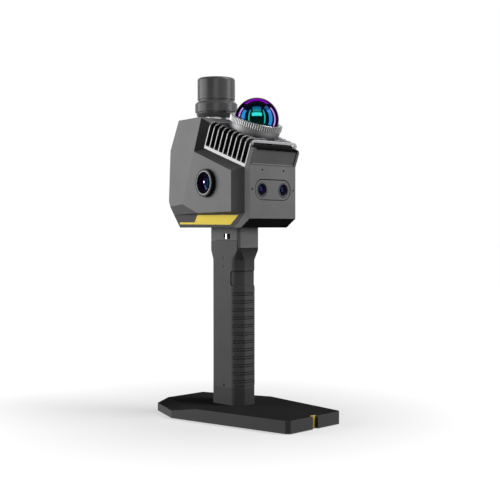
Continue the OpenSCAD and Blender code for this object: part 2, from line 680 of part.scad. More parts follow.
// Chips: place across the board, place along it and size, all as shares of the board
chip_shares = [[0, 0.34, 0.36], [-0.5, 0.62, 0.2], [0.5, 0.62, 0.2], [0.45, 0.16, 0.16], [-0.5, 0.16, 0.24]];
module posts(half, y0, y1, z0, z1) both() for (y = [y0 + post_in, y1 - post_in])
    translate([half - post_in, y, z0]) cylinder(r = post_r, h = z1 - z0);
module board(half, y0, y1, z, chips) {
    block([-half, y0, z], [half, y1, z + board_t]);
    for (c = chips) translate([c.x*half, y0 + c.y*(y1 - y0), z + board_t])
        linear_extrude(chip_h) square(c.z*2*half, center = true);
}
module main_board() color("#1f5d3a") board(board_half, board_y0, board_y1, board_z, chip_shares);
module receiver_board() color("#1f5d3a")
    board(receiver_half, receiver_y0, receiver_y1, receiver_z - board_t, []);
module motion_sensor() color("#8f6a2a") translate([0, sensor_y, head_bottom + frame_wall])
    block([-sensor_w/2, -sensor_w/2, 0], [sensor_w/2, sensor_w/2, sensor_h]);
module data_port() color("#bfc2c6") translate([0, bay_floor_y, board_z + board_t]) {
    difference() {
        block([-port_w/2, -port_l, 0], [port_w/2, 0, port_h]);
        block([port_wall - port_w/2, port_wall - port_l, port_wall],
            [port_w/2 - port_wall, cut, port_h - port_wall]);
    }
    block([-port_w/3, port_wall - port_l, port_h/2 - port_tongue/2],
        [port_w/3, -port_tongue, port_h/2 + port_tongue/2]);
}

// Frame
frame_x = frame_half - seam;
window_half = 19;                                 // half width of the frame's rear window
window_rise = 83.4;
window_z = head_bottom + window_rise;             // its upper edge
camera_cable_r = 3;
front_screw_r = 0.8;
front_screw_head_r = 1.1;
front_screw_head_h = 1.2;
front_screw_l = 11;
front_screw_sunk = 0.15;
outer_screw_in = 4;                               // outer screws' distance from the cover's sides
outer_screw_x = front_half - outer_screw_in;
upper_screw_rise = 21.5;                          // upper screws above the cameras' axes
upper_screw_z = front_camera_z + upper_screw_rise;
rear_screw_in = 3;
rear_screw_x = frame_half - rear_screw_in;
rear_screw_rise = 38.4;                           // rear cover's lower screws in the head
rear_screw_pitch = 40;
rear_screw_z = [head_bottom + rear_screw_rise, head_bottom + rear_screw_rise + rear_screw_pitch];
rear_screw_r = 1.1;
rear_screw_head_r = 2.2;
rear_screw_l = 6;
stem_r = 6;                                       // antenna's threaded stem
module at_front_screws() both() for (p = [[front_camera_x, upper_screw_z], [outer_screw_x, front_camera_z]])
    translate([p.x, front_screw_sunk - head_front, p.y]) rotate([-90, 0, 0]) children();
module at_rear_screws() both() for (z = rear_screw_z)
    translate([rear_screw_x, head_rear - screw_sunk, z]) rotate([90, 0, 0]) children();
module front_screw_holes() at_front_screws()
    cylinder(r = front_screw_r + run_gap, h = front_screw_l + run_gap);
module rear_screw_holes() at_rear_screws() {
    cylinder(r = rear_screw_r + run_gap, h = rear_screw_l + run_gap);
    translate([0, 0, -screw_sunk - cut])
        cylinder(r = rear_screw_head_r + run_gap, h = screw_head_h + screw_sunk + cut);
}
module head_frame() color("#2c2c2e") difference() {
    union() {
        difference() {
            across(frame_x) head_polygon(0, rear_t + seam);
            across(frame_half) head_polygon(frame_wall, rear_t + seam + frame_wall);
        }
        block([-frame_x, seam_y + frame_wall, shelf_z - shelf_t],
            [frame_x, head_rear - rear_t - frame_wall, shelf_z]);
        posts(board_half, board_y0, board_y1, shelf_z - shelf_t/2, board_z);
        posts(receiver_half, receiver_y0, receiver_y1, receiver_z, head_top - frame_wall/2);
    }
    block([-window_half, head_rear - rear_t - 2*frame_wall, shelf_z],
        [window_half, head_rear, window_z]);
    translate([0, 0, head_bottom - cut]) cylinder(r = cable_r, h = shelf_z - head_bottom + 2*cut);
    tilted() translate([0, 0, -sink_h - ledge_gap - frame_wall - cut])
        cylinder(r = cable_r, h = frame_wall + 2*cut);
    both() translate([front_camera_x, seam_y, front_camera_z]) rod_y(camera_cable_r, 2*frame_wall);
    at_neck_screws() translate([0, 0, -cut]) cylinder(r = neck_screw_r + run_gap, h = frame_wall + 2*cut);
    translate([0, antenna_y, head_top - frame_wall - cut])
        cylinder(r = stem_r + run_gap, h = frame_wall + 2*cut);
    front_screw_holes();
    rear_screw_holes();
}

// Facets of the side covers, on the +X side
camera_yaw = 6;                                   // turn of the camera facet towards the rear
shoulder_turn = 7.1;                              // how much the upper facet turns away from it
crease_u = 44.3;                                  // place of that crease along the tilt
tail_yaw = 11.2;                                  // turn and lean of the lower rear facet
tail_pitch = 14;
tail_y = 17.1;                                    // where its crease leaves the lower edge
cheek_yaw = 45;                                   // turn of the front facet
sill_yaw = 3;                                     // turn and lean of the lower band
sill_pitch = 12;
sill_z = head_bottom + seam_rise;
under_rise = 0.8;                                 // lower edge of the camera facet above the band
under_pitch = 80;
gutter_half = 29;                                 // half width of the heat sink's seat at its rear
gutter_out = 1;
cheek_drop = 7;                                   // front facet's upper corner below the heat sink
function cover_x(y) = cover_half - y*tan(camera_yaw);
function cover_point(u, n) = [cover_x(tilted_yz(u, n).x), u, n];
cheek_y = (cover_half - front_half + seam_y)/(1 + tan(camera_yaw));
cheek_n = -sink_h - cheek_drop;
cheek_u = (cheek_y - tilt_y + cheek_n*sin(tilt))/cos(tilt);
crease = tilted_yz(crease_u, -sink_h);
sill_p = [front_half, seam_y, sill_z];
sill_n = aim(sill_yaw, -sill_pitch);
// Everything beyond the plane through p that faces along n, with the plane moved inwards by d
module facet(p, n, d) beyond(p - d*unit(n), n);
// The same for a plane through three points
module facet3(a, b, c, d) facet(a, cross(b - a, c - a), d);
module facets(d) {
    facet([cover_half, 0, 0], aim(camera_yaw, 0), d);
    facet([cover_x(crease.x), crease.x, crease.y],
        aim(camera_yaw, 0)*cos(shoulder_turn) + [0, cos(tilt), sin(tilt)]*sin(shoulder_turn), d);
    facet([cover_x(tail_y), tail_y, sill_z], aim(tail_yaw, -tail_pitch), d);
    facet([front_half, seam_y, 0], aim(-cheek_yaw, 0), d);
    tilted() intersection() {
        facet3([front_half, sink_u0, -sink_h], cover_point(cheek_u, cheek_n), [gutter_half, sink_u1, -sink_h], d);
        facet3(cover_point(crease_u, -sink_h), cover_point(crease_u, 0),
            [gutter_half + gutter_out, slot_u, -sink_h], d);
    }
    intersection() {
        facet([cover_half, 0, sill_z + under_rise], aim(0, -under_pitch), d);
        facet(sill_p, sill_n, d);
    }
}

// Side covers
stripe_t = 0.6;
stripe_proud = 0.15;
// Corners of the stripe as shares of the underside's length and of the lower band's height
stripe_shares = [[0.693, 0.906], [0.089, 0.869], [0.224, 0.2], [0.99, 0.24], [0.99, 0.375], [0.752, 0.375]];
module side_form(d) difference() {
    translate([frame_half - sign(d)*cut, 0, 0]) rotate([90, 0, 90])
        linear_extrude(cover_half) polygon(inset(head_side, d));
    facets(d);
}
module stripe(proud) intersection() {
    difference() {
        translate([frame_half, 0, 0]) rotate([90, 0, 90]) linear_extrude(cover_half)
            polygon([for (s = stripe_shares)
                [seam_y + s.x*(tail_foot.x - seam_y), head_bottom + s.y*seam_rise]]);
        facet(sill_p, sill_n, -proud);
    }
    facet(sill_p, sill_n, stripe_t);
}
module side_cover() color("#67676a") difference() {
    side_form(0);
    side_form(cover_wall);
    at_side_camera() translate([0, 0, -2*cover_wall])
        cylinder(r = barrel_r + seam, h = 2*cover_wall + cut);
    stripe(cut);
    front_screw_holes();
}
module right_side_cover() side_cover();
module left_side_cover() mirror([1, 0, 0]) side_cover();
module right_stripe() color("#dcc44b") stripe(stripe_proud);
module left_stripe() color("#dcc44b") mirror([1, 0, 0]) stripe(stripe_proud);

// Side cameras
barrel_flange = 2.3;
barrel_flange_t = 1.5;
barrel_edge = 0.8;
barrel_rim = 2.5;                                 // barrel's rim outside the bright ring
side_ring_r = barrel_r - barrel_rim;
side_ring_t = 0.8;
side_ring_h = 1;
side_ring_sunk = 0.2;
side_lens_sunk = 1;
side_lens_h = 1.6;
side_lens_bulge = 0.8;
side_lens_seat = 2.8;                             // width of the ledge behind the glass
side_bore_r = side_lens_r - side_lens_seat;
module_w = 24;
module_h = 12;
module_nose_gap = 0.5;
side_seat = barrel_out - side_lens_sunk - side_lens_bulge - side_lens_h; // back of the glass
barrel_back = -cover_wall - barrel_flange_t;
module at_side_camera() translate([cover_x(side_camera_y), side_camera_y, side_camera_z])
    rotate([0, 90, camera_yaw]) children();
module side_barrel() color("#161617") at_side_camera() difference() {
    union() {
        translate([0, 0, barrel_back]) cylinder(r = barrel_r + barrel_flange, h = barrel_flange_t);
        translate([0, 0, -cover_wall]) cylinder(r = barrel_r, h = cover_wall + barrel_out - barrel_edge);
        translate([0, 0, barrel_out - barrel_edge])
            cylinder(r1 = barrel_r, r2 = barrel_r - barrel_edge, h = barrel_edge);
    }
    translate([0, 0, barrel_out - side_ring_sunk - side_ring_h])
        cylinder(r = side_ring_r, h = side_ring_h + side_ring_sunk + cut);
    translate([0, 0, side_seat]) cylinder(r = side_lens_r + run_gap, h = barrel_out);
    translate([0, 0, barrel_back - cut]) cylinder(r = side_bore_r, h = barrel_out - barrel_back);
}
module side_glass() color("#101018") at_side_camera() translate([0, 0, side_seat])
    lens(side_lens_r, side_lens_h, side_lens_bulge);
module side_module() color("#26262a") at_side_camera() {
    translate([0, 0, barrel_back - module_h]) linear_extrude(module_h) square(module_w, center = true);
    translate([0, 0, barrel_back - cut])
        cylinder(r = side_bore_r - module_nose_gap, h = side_seat - barrel_back + cut - module_nose_gap);
}
module right_lens_barrel() side_barrel();
module left_lens_barrel() mirror([1, 0, 0]) side_barrel();
module right_lens() side_glass();
module left_lens() mirror([1, 0, 0]) side_glass();
module right_camera_module() side_module();
module left_camera_module() mirror([1, 0, 0]) side_module();
module side_lens_rings() color("#b9bbbf") both() at_side_camera()
    translate([0, 0, barrel_out - side_ring_sunk - side_ring_h])
        ring(side_ring_r, side_ring_r - side_ring_t, side_ring_h);

// Front cover
brow_n = (tilt_y + brow_u*cos(tilt) + head_front)/sin(tilt); // brow's lower edge below the heat sink's top
brow_side = 4;                                    // brow's rim beside its sunk panel
brow_panel_half = front_half - brow_side;
brow_margin = 1.5;
brow_recess = 0.8;
front_boss_r = 2.4;
plate_gap = 0.25;                                 // groove round the camera plate
plate_sunk = 0.2;
plate_lip = 1.4;                                  // camera plate's rim behind the cover
plate_lip_t = 1.2;
front_ring_h = 1.6;
front_ring_t = 1.7;
front_glass_h = 1.4;
front_glass_bulge = 0.5;
front_glass_sunk = 0.6;
sensor_board_w = 15;
sensor_board_t = 1.6;
sensor_nose_r = 6.6;
chin_foot = [chin_d - head_front, head_bottom];
chin_top = [-head_front, head_bottom + chin_h];
brow_foot = tilted_yz(brow_u, brow_n);
brow_top = tilted_yz(brow_u, -brow_drop);
front_side = [chin_foot, seam_line(0)[3], seam_line(0)[2], seam_line(0)[1], seam_line(0)[0],
    ledge_point(seam_y), tilted_yz(sink_u0 - seam, -sink_h - ledge_gap),
    tilted_yz(sink_u0 - seam, -brow_drop), brow_top, brow_foot, chin_top];
front_big = [chin_foot, [0, head_bottom], tilted_yz(tilt_front, -brow_drop), brow_top, brow_foot, chin_top];
// Frame of the front cameras: X across, Y up, Z out of the front face
module at_front() translate([0, -head_front, front_camera_z]) rotate([90, 0, 0]) children();
module stadium(r) {
    both() translate([front_camera_x, 0]) circle(r = r);
    square([2*front_camera_x, 2*r], center = true);
}
module at_front_cameras(z) at_front() both() translate([front_camera_x, 0, z]) children();
plate_back = -cover_wall - plate_lip_t;
module front_cover() color("#67676a") difference() {
    union() {
        difference() {
            across(front_half) polygon(front_side);
            across(front_half - cover_wall) polygon(inset(front_big, cover_wall));
        }
        at_front_screws() translate([0, 0, cover_wall/2])
            cylinder(r = front_boss_r, h = front_cover_d - cover_wall/2 - front_screw_sunk);
    }
    at_front() translate([0, 0, -cover_wall - cut])
        linear_extrude(cover_wall + 2*cut) stadium(camera_plate_r + plate_gap);
    tilted() {
        block([-brow_panel_half, brow_u - cut, brow_n + brow_margin],
            [brow_panel_half, brow_u + brow_recess, -brow_drop - brow_margin]);
        both() translate([front_half - brow_corner_r, sink_u0 + cut, -brow_drop - brow_corner_r])
            rotate([90, 0, 0]) linear_extrude(sink_u0 - brow_u + 2*cut) difference() {
                square(brow_corner_r + cut);
                circle(r = brow_corner_r);
            }
    }
    front_screw_holes();
    at_front_screws() translate([0, 0, -front_screw_sunk - cut])
        cylinder(r = front_screw_head_r + run_gap, h = front_screw_head_h + front_screw_sunk + cut);
}
module front_screws() color("#1b1b1c") at_front_screws()
    screw(front_screw_head_r, front_screw_head_h, front_screw_r, front_screw_l);
module front_camera_plate() color("#67676a") difference() {
    at_front() {
        translate([0, 0, -cover_wall]) linear_extrude(cover_wall - plate_sunk) stadium(camera_plate_r);
        translate([0, 0, plate_back]) linear_extrude(plate_lip_t) stadium(camera_plate_r + plate_lip);
    }
    at_front_cameras(-front_ring_h) cylinder(r = front_ring_r, h = front_ring_h + cut);
    at_front_cameras(plate_back - cut) cylinder(r = front_lens_r + run_gap, h = cover_wall + plate_lip_t);
}
module front_lens_rings() color("#3a3a3d") at_front_cameras(-front_ring_h)
    ring(front_ring_r, front_ring_r - front_ring_t, front_ring_h);
module front_lenses() color("#0c0c12")
    at_front_cameras(-front_glass_sunk - front_glass_h - front_glass_bulge)
        lens(front_lens_r, front_glass_h, front_glass_bulge);
module front_camera_modules() color("#26262a") {
    at_front_cameras(-front_cover_d - seam)
        linear_extrude(sensor_board_t) square(sensor_board_w, center = true);
    at_front_cameras(sensor_board_t - front_cover_d - seam)
        cylinder(r = sensor_nose_r, h = front_cover_d + seam - sensor_board_t + plate_back);
}

// Heat sink
groove_r = (fin_pitch - fin_t)/2;
lidar_half = 24;
lidar_gap = 0.3;
lidar_roof = 2.5;                                 // heat sink's wall above the laser unit's body
lidar_neck_r = 22;
neck_room = 1;                                    // heat sink's gap round the laser unit's neck
sink_hole_r = lidar_neck_r + neck_room;
cup_foot_r = 24;
cup_in = 1;                                       // cup's edge inside the ring's
cup_top_r = ring_r - cup_in;
brow_slot_h = 6;
module sink_outline() {
    for (k = [-1, 1]) translate([k*(front_half - fin_r), -fin_r]) circle(r = fin_r);
    translate([-front_half, -sink_h]) square([2*front_half, sink_h - fin_r]);
    translate([fin_r - front_half, -sink_h]) square([2*(front_half - fin_r), sink_h]);
}
module sink_groove() {
    block([-front_half - cut, -groove_r, groove_r - fin_d], [front_half + cut, groove_r, cut]);
    translate([-front_half - cut, 0, groove_r - fin_d]) rod_x(groove_r, 2*(front_half + cut));
    both() {
        block([core_half + groove_r, -groove_r, ledge_h - sink_h], [front_half + cut, groove_r, cut]);
        translate([core_half + groove_r, 0, ledge_h - sink_h])
            cylinder(r = groove_r, h = sink_h - ledge_h + cut);
    }
}
module heat_sink() color("#b4b6b9") tilted() difference() {
    translate([0, sink_u1, 0]) rotate([90, 0, 0]) linear_extrude(sink_u1 - sink_u0) sink_outline();
    for (k = [0:fin_n - 2]) translate([0, sink_u1 - fin_t - groove_r - k*fin_pitch, 0]) sink_groove();
    block([-lidar_half - lidar_gap, -lidar_half - lidar_gap, -sink_h - cut],
        [lidar_half + lidar_gap, lidar_half + lidar_gap, -fin_d - lidar_roof]);
    translate([0, 0, -sink_h]) cylinder(r = sink_hole_r, h = sink_h);
    translate([0, 0, -fin_d]) cylinder(r = cup_top_r, h = fin_d + cut);
    block([-brow_panel_half, sink_u0 - cut, -lip_h - brow_slot_h],
        [brow_panel_half, sink_u0 + fin_t, -lip_h]);
}

// Laser unit
cup_steps = 6;
ring_floor = 2;
flute_r = 1.2;
motor_r = 9;
motor_h = 2.8;
shaft_r = 2;
rotor_gap = 0.3;
rotor_r = 18;
rotor_h = 2;
hub_r = 8;
hub_h = 2.7;
mirror_r = 11;
mirror_h = 15;
rotor_n = cup_h + motor_h + rotor_gap;
mirror_n = rotor_n + rotor_h + hub_h;
module lidar_body() color("#1e1e20") tilted() {
    block([-lidar_half, -lidar_half, -sink_h], [lidar_half, lidar_half, -fin_d - lidar_roof - lidar_gap]);
    translate([0, 0, -fin_d - lidar_roof - 2*lidar_gap])
        cylinder(r = lidar_neck_r, h = fin_d + lidar_roof + 2*lidar_gap + cup_h);
}
module lidar_cup() color("#b4b6b9") tilted() translate([0, 0, -fin_d]) rotate_extrude()
    polygon(concat([[lidar_neck_r + lidar_gap, fin_d + cup_h], [lidar_neck_r + lidar_gap, 0]],
        [for (i = [0:cup_steps]) let(a = 90*i/cup_steps)
            [cup_foot_r + (cup_top_r - cup_foot_r)*sin(a), (fin_d + cup_h)*(1 - cos(a))]]));
module lidar_ring() color("#b4b6b9") tilted() translate([0, 0, cup_h]) difference() {
    cylinder(r = ring_r, h = ring_h);
    translate([0, 0, ring_floor]) cylinder(r = dome_r + seam, h = ring_h);
    translate([0, 0, -cut]) cylinder(r = lidar_neck_r + lidar_gap, h = ring_h);
    for (i = [0:flute_n - 1]) rotate([0, 0, i*360/flute_n]) translate([ring_r + flute_r - flute_d, 0, -cut])
        cylinder(r = flute_r, h = ring_h + 2*cut);
}
module dome_form(r) {
    intersection() {
        sphere(r = r);
        translate([0, 0, dome_r]) cube(2*dome_r, center = true);
    }
    translate([0, 0, ring_floor - ring_h]) cylinder(r = r, h = ring_h - ring_floor);
}
module lidar_dome() color("#17131f") tilted() translate([0, 0, dome_n]) difference() {
    dome_form(dome_r);
    dome_form(dome_r - dome_t);
    translate([0, 0, -ring_h]) cylinder(r = dome_r - dome_t, h = ring_h);
}
module lidar_motor() color("#8c8e92") tilted() translate([0, 0, cup_h]) {
    cylinder(r = motor_r, h = motor_h);
    cylinder(r = shaft_r, h = mirror_n - cup_h - rotor_gap);
}
module lidar_rotor() color("#55575b") tilted() translate([0, 0, rotor_n]) difference() {
    union() {
        cylinder(r = rotor_r, h = rotor_h);
        cylinder(r = hub_r, h = rotor_h + hub_h);
    }
    translate([0, 0, -cut]) cylinder(r = shaft_r + run_gap, h = rotor_h + hub_h + 2*cut);
}
module lidar_mirror() color("#d8dce2") tilted() translate([0, 0, mirror_n]) difference() {
    cylinder(r = mirror_r, h = mirror_h);
    beyond([0, 0, mirror_h/2], [0, -1, 1]);
}

// Antenna
seat_h = 2.5;
seat_r = 18;
stem_in = 6;                                      // how far the stem reaches below the head's top
stem_up = 10;
antenna_foot_in = 0.35;                           // steps of the profile from the cap's radius
antenna_skirt_out = 1.45;
antenna_groove_out = 0.65;
cap_gap_in = 1.05;
antenna_foot_r = antenna_r - antenna_foot_in;
antenna_skirt_r = antenna_r + antenna_skirt_out;
antenna_skirt_drop = 1.5;                         // groove between skirt and collar
antenna_groove_r = antenna_r + antenna_groove_out;
collar_edge = 2.6;                                // slope at the collar's upper end
cap_gap_h = 2.3;
cap_gap_r = antenna_r - cap_gap_in;
cap_wall = 1.6;
cap_round = 3;
cap_lap = 3.5;
cap_z = collar_top + cap_gap_h;
former_r = 14;
former_wall = 1;
former_h = 16;
helix_wire = 1;
helix_turns = 2;
module at_antenna() translate([0, antenna_y, head_top]) children();
module rounded_profile(r, h, c) {
    square([r, h - c]);
    square([r - c, h]);
    translate([r - c, h - c]) circle(r = c);
}
module antenna_socket() color("#8b8d90") at_antenna() {
    cylinder(r = seat_r, h = seat_h);
    translate([0, 0, -stem_in]) cylinder(r = stem_r, h = stem_in + stem_up);
}
module antenna_base() color("#47474a") at_antenna() difference() {
    rotate_extrude() polygon([[0, seat_h], [antenna_foot_r, seat_h], [antenna_skirt_r, collar_z - antenna_skirt_drop],
        [antenna_groove_r, collar_z - antenna_skirt_drop], [antenna_groove_r, collar_z],
        [collar_r, collar_z], [collar_r, collar_top - collar_edge], [collar_r - collar_edge, collar_top],
        [cap_gap_r, collar_top], [cap_gap_r, cap_z], [antenna_r - cap_wall - run_gap, cap_z],
        [antenna_r - cap_wall - run_gap, cap_z + cap_lap], [0, cap_z + cap_lap]]);
    cylinder(r = stem_r + run_gap, h = stem_up + run_gap);
}
module antenna_radome() color("#47474a") at_antenna() translate([0, 0, cap_z]) rotate_extrude() difference() {
    intersection() {
        rounded_profile(antenna_r, antenna_h - cap_z, cap_round);
        square([antenna_r, antenna_h]);
    }
    translate([0, -cut]) square([antenna_r - cap_wall, antenna_h - cap_z - cap_wall + cut - cap_round/2]);
}
module antenna_helix() color("#b8743a") at_antenna() translate([0, 0, cap_z + cap_lap]) {
    ring(former_r, former_r - former_wall, former_h);
    coil(former_r + run_gap, helix_wire, former_h, helix_turns);
}

// Rear panel
bay_wall = 1.5;
bay_half = flap_w/2 + move_gap;
hinge_r = 1.5;
hinge_y = head_rear - hinge_r;
flap_pin_r = 0.7;
pin_hold = 3;
pin_l = flap_w + 2*(move_gap + pin_hold);
flap_top = flap_z + flap_h - hinge_r;
bay_z0 = flap_z - hinge_r - move_gap;
bay_z1 = flap_top + move_gap;
nail_r = 1.2;
nail_l = 8;
button_flange_w = 1.5;
button_flange_r = button_r + button_flange_w;
button_flange_t = 1;
button_proud = 0.8;
button_gap = 4.8;                                 // room for the spring behind the button
button_back_y = head_rear - rear_t - move_gap - button_flange_t;
boss_end_y = button_back_y - button_gap;
boss_wall = 2;
boss_r = button_flange_r + boss_wall;
switch_board_t = 1.2;
power_spring_r = 4.9;
power_spring_wire = 0.6;
light_half = 10;
light_h = 3;
light_rise = 15;                                  // light's height above the button's axis
light_z = button_z + light_rise;
module rear_cover() color("#3f3f42") difference() {
    union() {
        across(frame_x) difference() {
            polygon(head_side);
            polygon(inset(rear_big, rear_t));
        }
        block([-bay_half - bay_wall, bay_floor_y - bay_wall, bay_z0 - bay_wall],
            [bay_half + bay_wall, head_rear - rear_t/2, bay_z1 + bay_wall]);
        translate([0, boss_end_y, button_z]) rod_y(boss_r, head_rear - rear_t/2 - boss_end_y);
    }
    block([-bay_half, bay_floor_y, bay_z0], [bay_half, head_rear + cut, bay_z1]);
    block([-port_w/2 - seam, bay_floor_y - bay_wall - cut, board_z + board_t - seam],
        [port_w/2 + seam, bay_floor_y + cut, board_z + board_t + port_h + seam]);
    translate([-pin_l/2, hinge_y, flap_z]) rod_x(flap_pin_r, pin_l);
    translate([-nail_l/2, head_rear, bay_z1]) rod_x(nail_r, nail_l);
    translate([0, boss_end_y, button_z]) rod_y(button_r + move_gap, head_rear - boss_end_y + cut);
    translate([0, boss_end_y - cut, button_z])
        rod_y(button_flange_r + move_gap, head_rear - rear_t - boss_end_y + cut);
    block([-light_half, head_rear - rear_t - cut, light_z - light_h/2],
        [light_half, head_rear + cut, light_z + light_h/2]);
    rear_screw_holes();
}
module rear_screws() color("#1b1b1c") at_rear_screws()
    screw(rear_screw_head_r, screw_head_h, rear_screw_r, rear_screw_l);
module status_light() color("#9fd6a8") block([-light_half, head_rear - rear_t, light_z - light_h/2],
    [light_half, head_rear, light_z + light_h/2]);
module power_button() color("#2b2b2d") translate([0, button_back_y, button_z]) {
    rod_y(button_flange_r, button_flange_t);
    rod_y(button_r, head_rear + button_proud - button_back_y);
}
module power_spring() color("#b9bbbe") translate([0, boss_end_y, button_z]) rotate([-90, 0, 0])
    coil(power_spring_r, power_spring_wire, button_gap, spring_turns);
module port_flap() color("#343437") difference() {
    union() {
        block([-flap_w/2, head_rear - flap_t, flap_z], [flap_w/2, head_rear, flap_top]);
        translate([-flap_w/2, hinge_y, flap_z]) rod_x(hinge_r, flap_w);
    }
    translate([-flap_w/2 - cut, hinge_y, flap_z]) rod_x(flap_pin_r + run_gap, flap_w + 2*cut);
}
module flap_pin() color("#c7c9cc") translate([-pin_l/2, hinge_y, flap_z]) rod_x(flap_pin_r, pin_l);

base_plate();
ground_mark();
base_sole();
base_bolts();
handle_foot();
grip_tube();
grip_rubber();
grip_screws();
battery_cells();
battery_holder();
battery_contacts();
trigger();
trigger_springs();
push_switches();
neck_core();
neck_block();
strap_pins();
neck_screws();
head_frame();
main_board();
receiver_board();
motion_sensor();
data_port();
left_side_cover();
right_side_cover();
left_stripe();
right_stripe();
left_lens_barrel();
left_lens();
left_camera_module();
right_lens_barrel();
right_lens();
right_camera_module();
side_lens_rings();
front_cover();
front_screws();
front_camera_plate();
front_lens_rings();
front_lenses();
front_camera_modules();
heat_sink();
lidar_body();
lidar_cup();
lidar_ring();
lidar_dome();
lidar_motor();
lidar_rotor();
lidar_mirror();
antenna_socket();
antenna_base();
antenna_radome();
antenna_helix();
rear_cover();
rear_screws();
status_light();
power_button();
power_spring();
port_flap();
flap_pin();
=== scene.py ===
"""Looks of a handheld laser scanner on its ground plate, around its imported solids.

Metres, +Z up, the front faces -Y. The sizes below repeat those of the solids.
"""
import math

import bmesh
import bpy
from mathutils import Matrix, Vector


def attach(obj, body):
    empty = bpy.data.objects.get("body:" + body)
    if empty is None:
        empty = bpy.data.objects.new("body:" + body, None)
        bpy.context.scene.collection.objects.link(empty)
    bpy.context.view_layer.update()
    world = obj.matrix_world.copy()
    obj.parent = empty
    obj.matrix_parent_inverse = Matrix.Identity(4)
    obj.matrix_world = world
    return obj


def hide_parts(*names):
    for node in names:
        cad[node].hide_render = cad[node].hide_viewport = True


MM = 0.001

# Camera of the photograph: place, turn and fall in degrees, and lens for a 36 mm sensor
CAMERA_PLACE = (-0.8377, -0.8431, 0.2161)
CAMERA_TURN = -45.67
CAMERA_FALL = 1.26
CAMERA_LENS = 74.66

# Tilted frame of the heat sink and the laser unit, and the antenna's foot
TILT = 20.5
TILT_PLACE = (0.0, -30.4 * MM, 322.9 * MM)
ANTENNA_PLACE = (0.0, 30.0 * MM, 340.0 * MM)
CUP_H = 7.2
RING_H = 7.0
RING_R = 30.0
DOME_R = 24.8
DOME_T = 1.8
DOME_N = CUP_H + RING_H
COVER_HALF = 42.9
COVER_YAW = 6.0
SIDE_CAMERA_Y = 1.0
SIDE_CAMERA_Z = 265.5
HEAD_FRONT = 60.3
FRONT_CAMERA_X = 17.1
FRONT_CAMERA_Z = 257.1
CAMERA_PLATE_R = 11.4
ROUND = 96

# Heat sink across, along and into the tilt
SINK_HALF = 37.0
SINK_ROUND = 6.0
SINK_LEDGE = -27.7
SINK_MIDDLE = -1.3
SINK_HALF_LONG = 34.5
BROW_RIM = -7.9
BROW_BACK = (-34.0, -33.0)
FIN_PITCH = 7.5
FIN_START = -35.8

# Laser unit: neck, cup and the ring's ribs
NECK_R = 22.3
CUP_FOOT_R = 24.0
CUP_FOOT_N = -7.5
CUP_REACH = 5.0
RIB_COUNT = 72
RIB_R = 0.62
# Radii between which the painted shade between two ribs sets in, and ends
VALLEY_STARTS = (28.6, 29.0)
VALLEY_ENDS = (29.35, 29.75)


# ---- camera ----
def add_camera():
    """Camera at the photograph's angle."""
    turn, fall = math.radians(CAMERA_TURN), math.radians(CAMERA_FALL)
    back = Vector((math.sin(turn) * math.cos(fall), -math.cos(turn) * math.cos(fall), math.sin(fall)))
    right = Vector((math.cos(turn), math.sin(turn), 0.0))
    camera = bpy.data.objects.new("camera", bpy.data.cameras.new("camera"))
    camera.data.lens = CAMERA_LENS
    camera.data.sensor_width = 36.0
    camera.data.clip_start = 0.01
    camera.data.clip_end = 50.0
    axes = Matrix((right, back.cross(right), back)).transposed().to_4x4()
    camera.matrix_world = Matrix.Translation(CAMERA_PLACE) @ axes
    bpy.context.scene.collection.objects.link(camera)
    bpy.context.scene.camera = camera


add_camera()
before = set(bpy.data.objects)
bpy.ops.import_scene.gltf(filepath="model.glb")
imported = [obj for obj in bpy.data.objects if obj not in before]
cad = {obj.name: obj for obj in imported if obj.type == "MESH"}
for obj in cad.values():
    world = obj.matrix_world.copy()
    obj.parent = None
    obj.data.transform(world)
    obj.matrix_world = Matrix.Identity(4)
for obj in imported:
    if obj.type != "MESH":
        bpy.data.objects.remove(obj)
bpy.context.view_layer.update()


# ---- places ----
def at(place, *turns):
    """Frame at a place in metres, turned about axes in order, as (degrees, axis)."""
    found = Matrix.Translation(place)
    for degrees, axis in turns:
        found = found @ Matrix.Rotation(math.radians(degrees), 4, axis)
    return found


TILTED = at(TILT_PLACE, (TILT, "X"))
ANTENNA = at(ANTENNA_PLACE)


def side_camera_frame(side):
    """Frame of a side camera, Z along its axis; side is 1 for +X and -1 for -X."""
    out = COVER_HALF - SIDE_CAMERA_Y * math.tan(math.radians(COVER_YAW))
    place = (side * out * MM, SIDE_CAMERA_Y * MM, SIDE_CAMERA_Z * MM)
    return at(place, (side * COVER_YAW, "Z"), (side * 90, "Y"))


def front_camera_frame(side):
    """Frame of a front camera, Z towards the front."""
    return at((side * FRONT_CAMERA_X * MM, -HEAD_FRONT * MM, FRONT_CAMERA_Z * MM), (90, "X"))


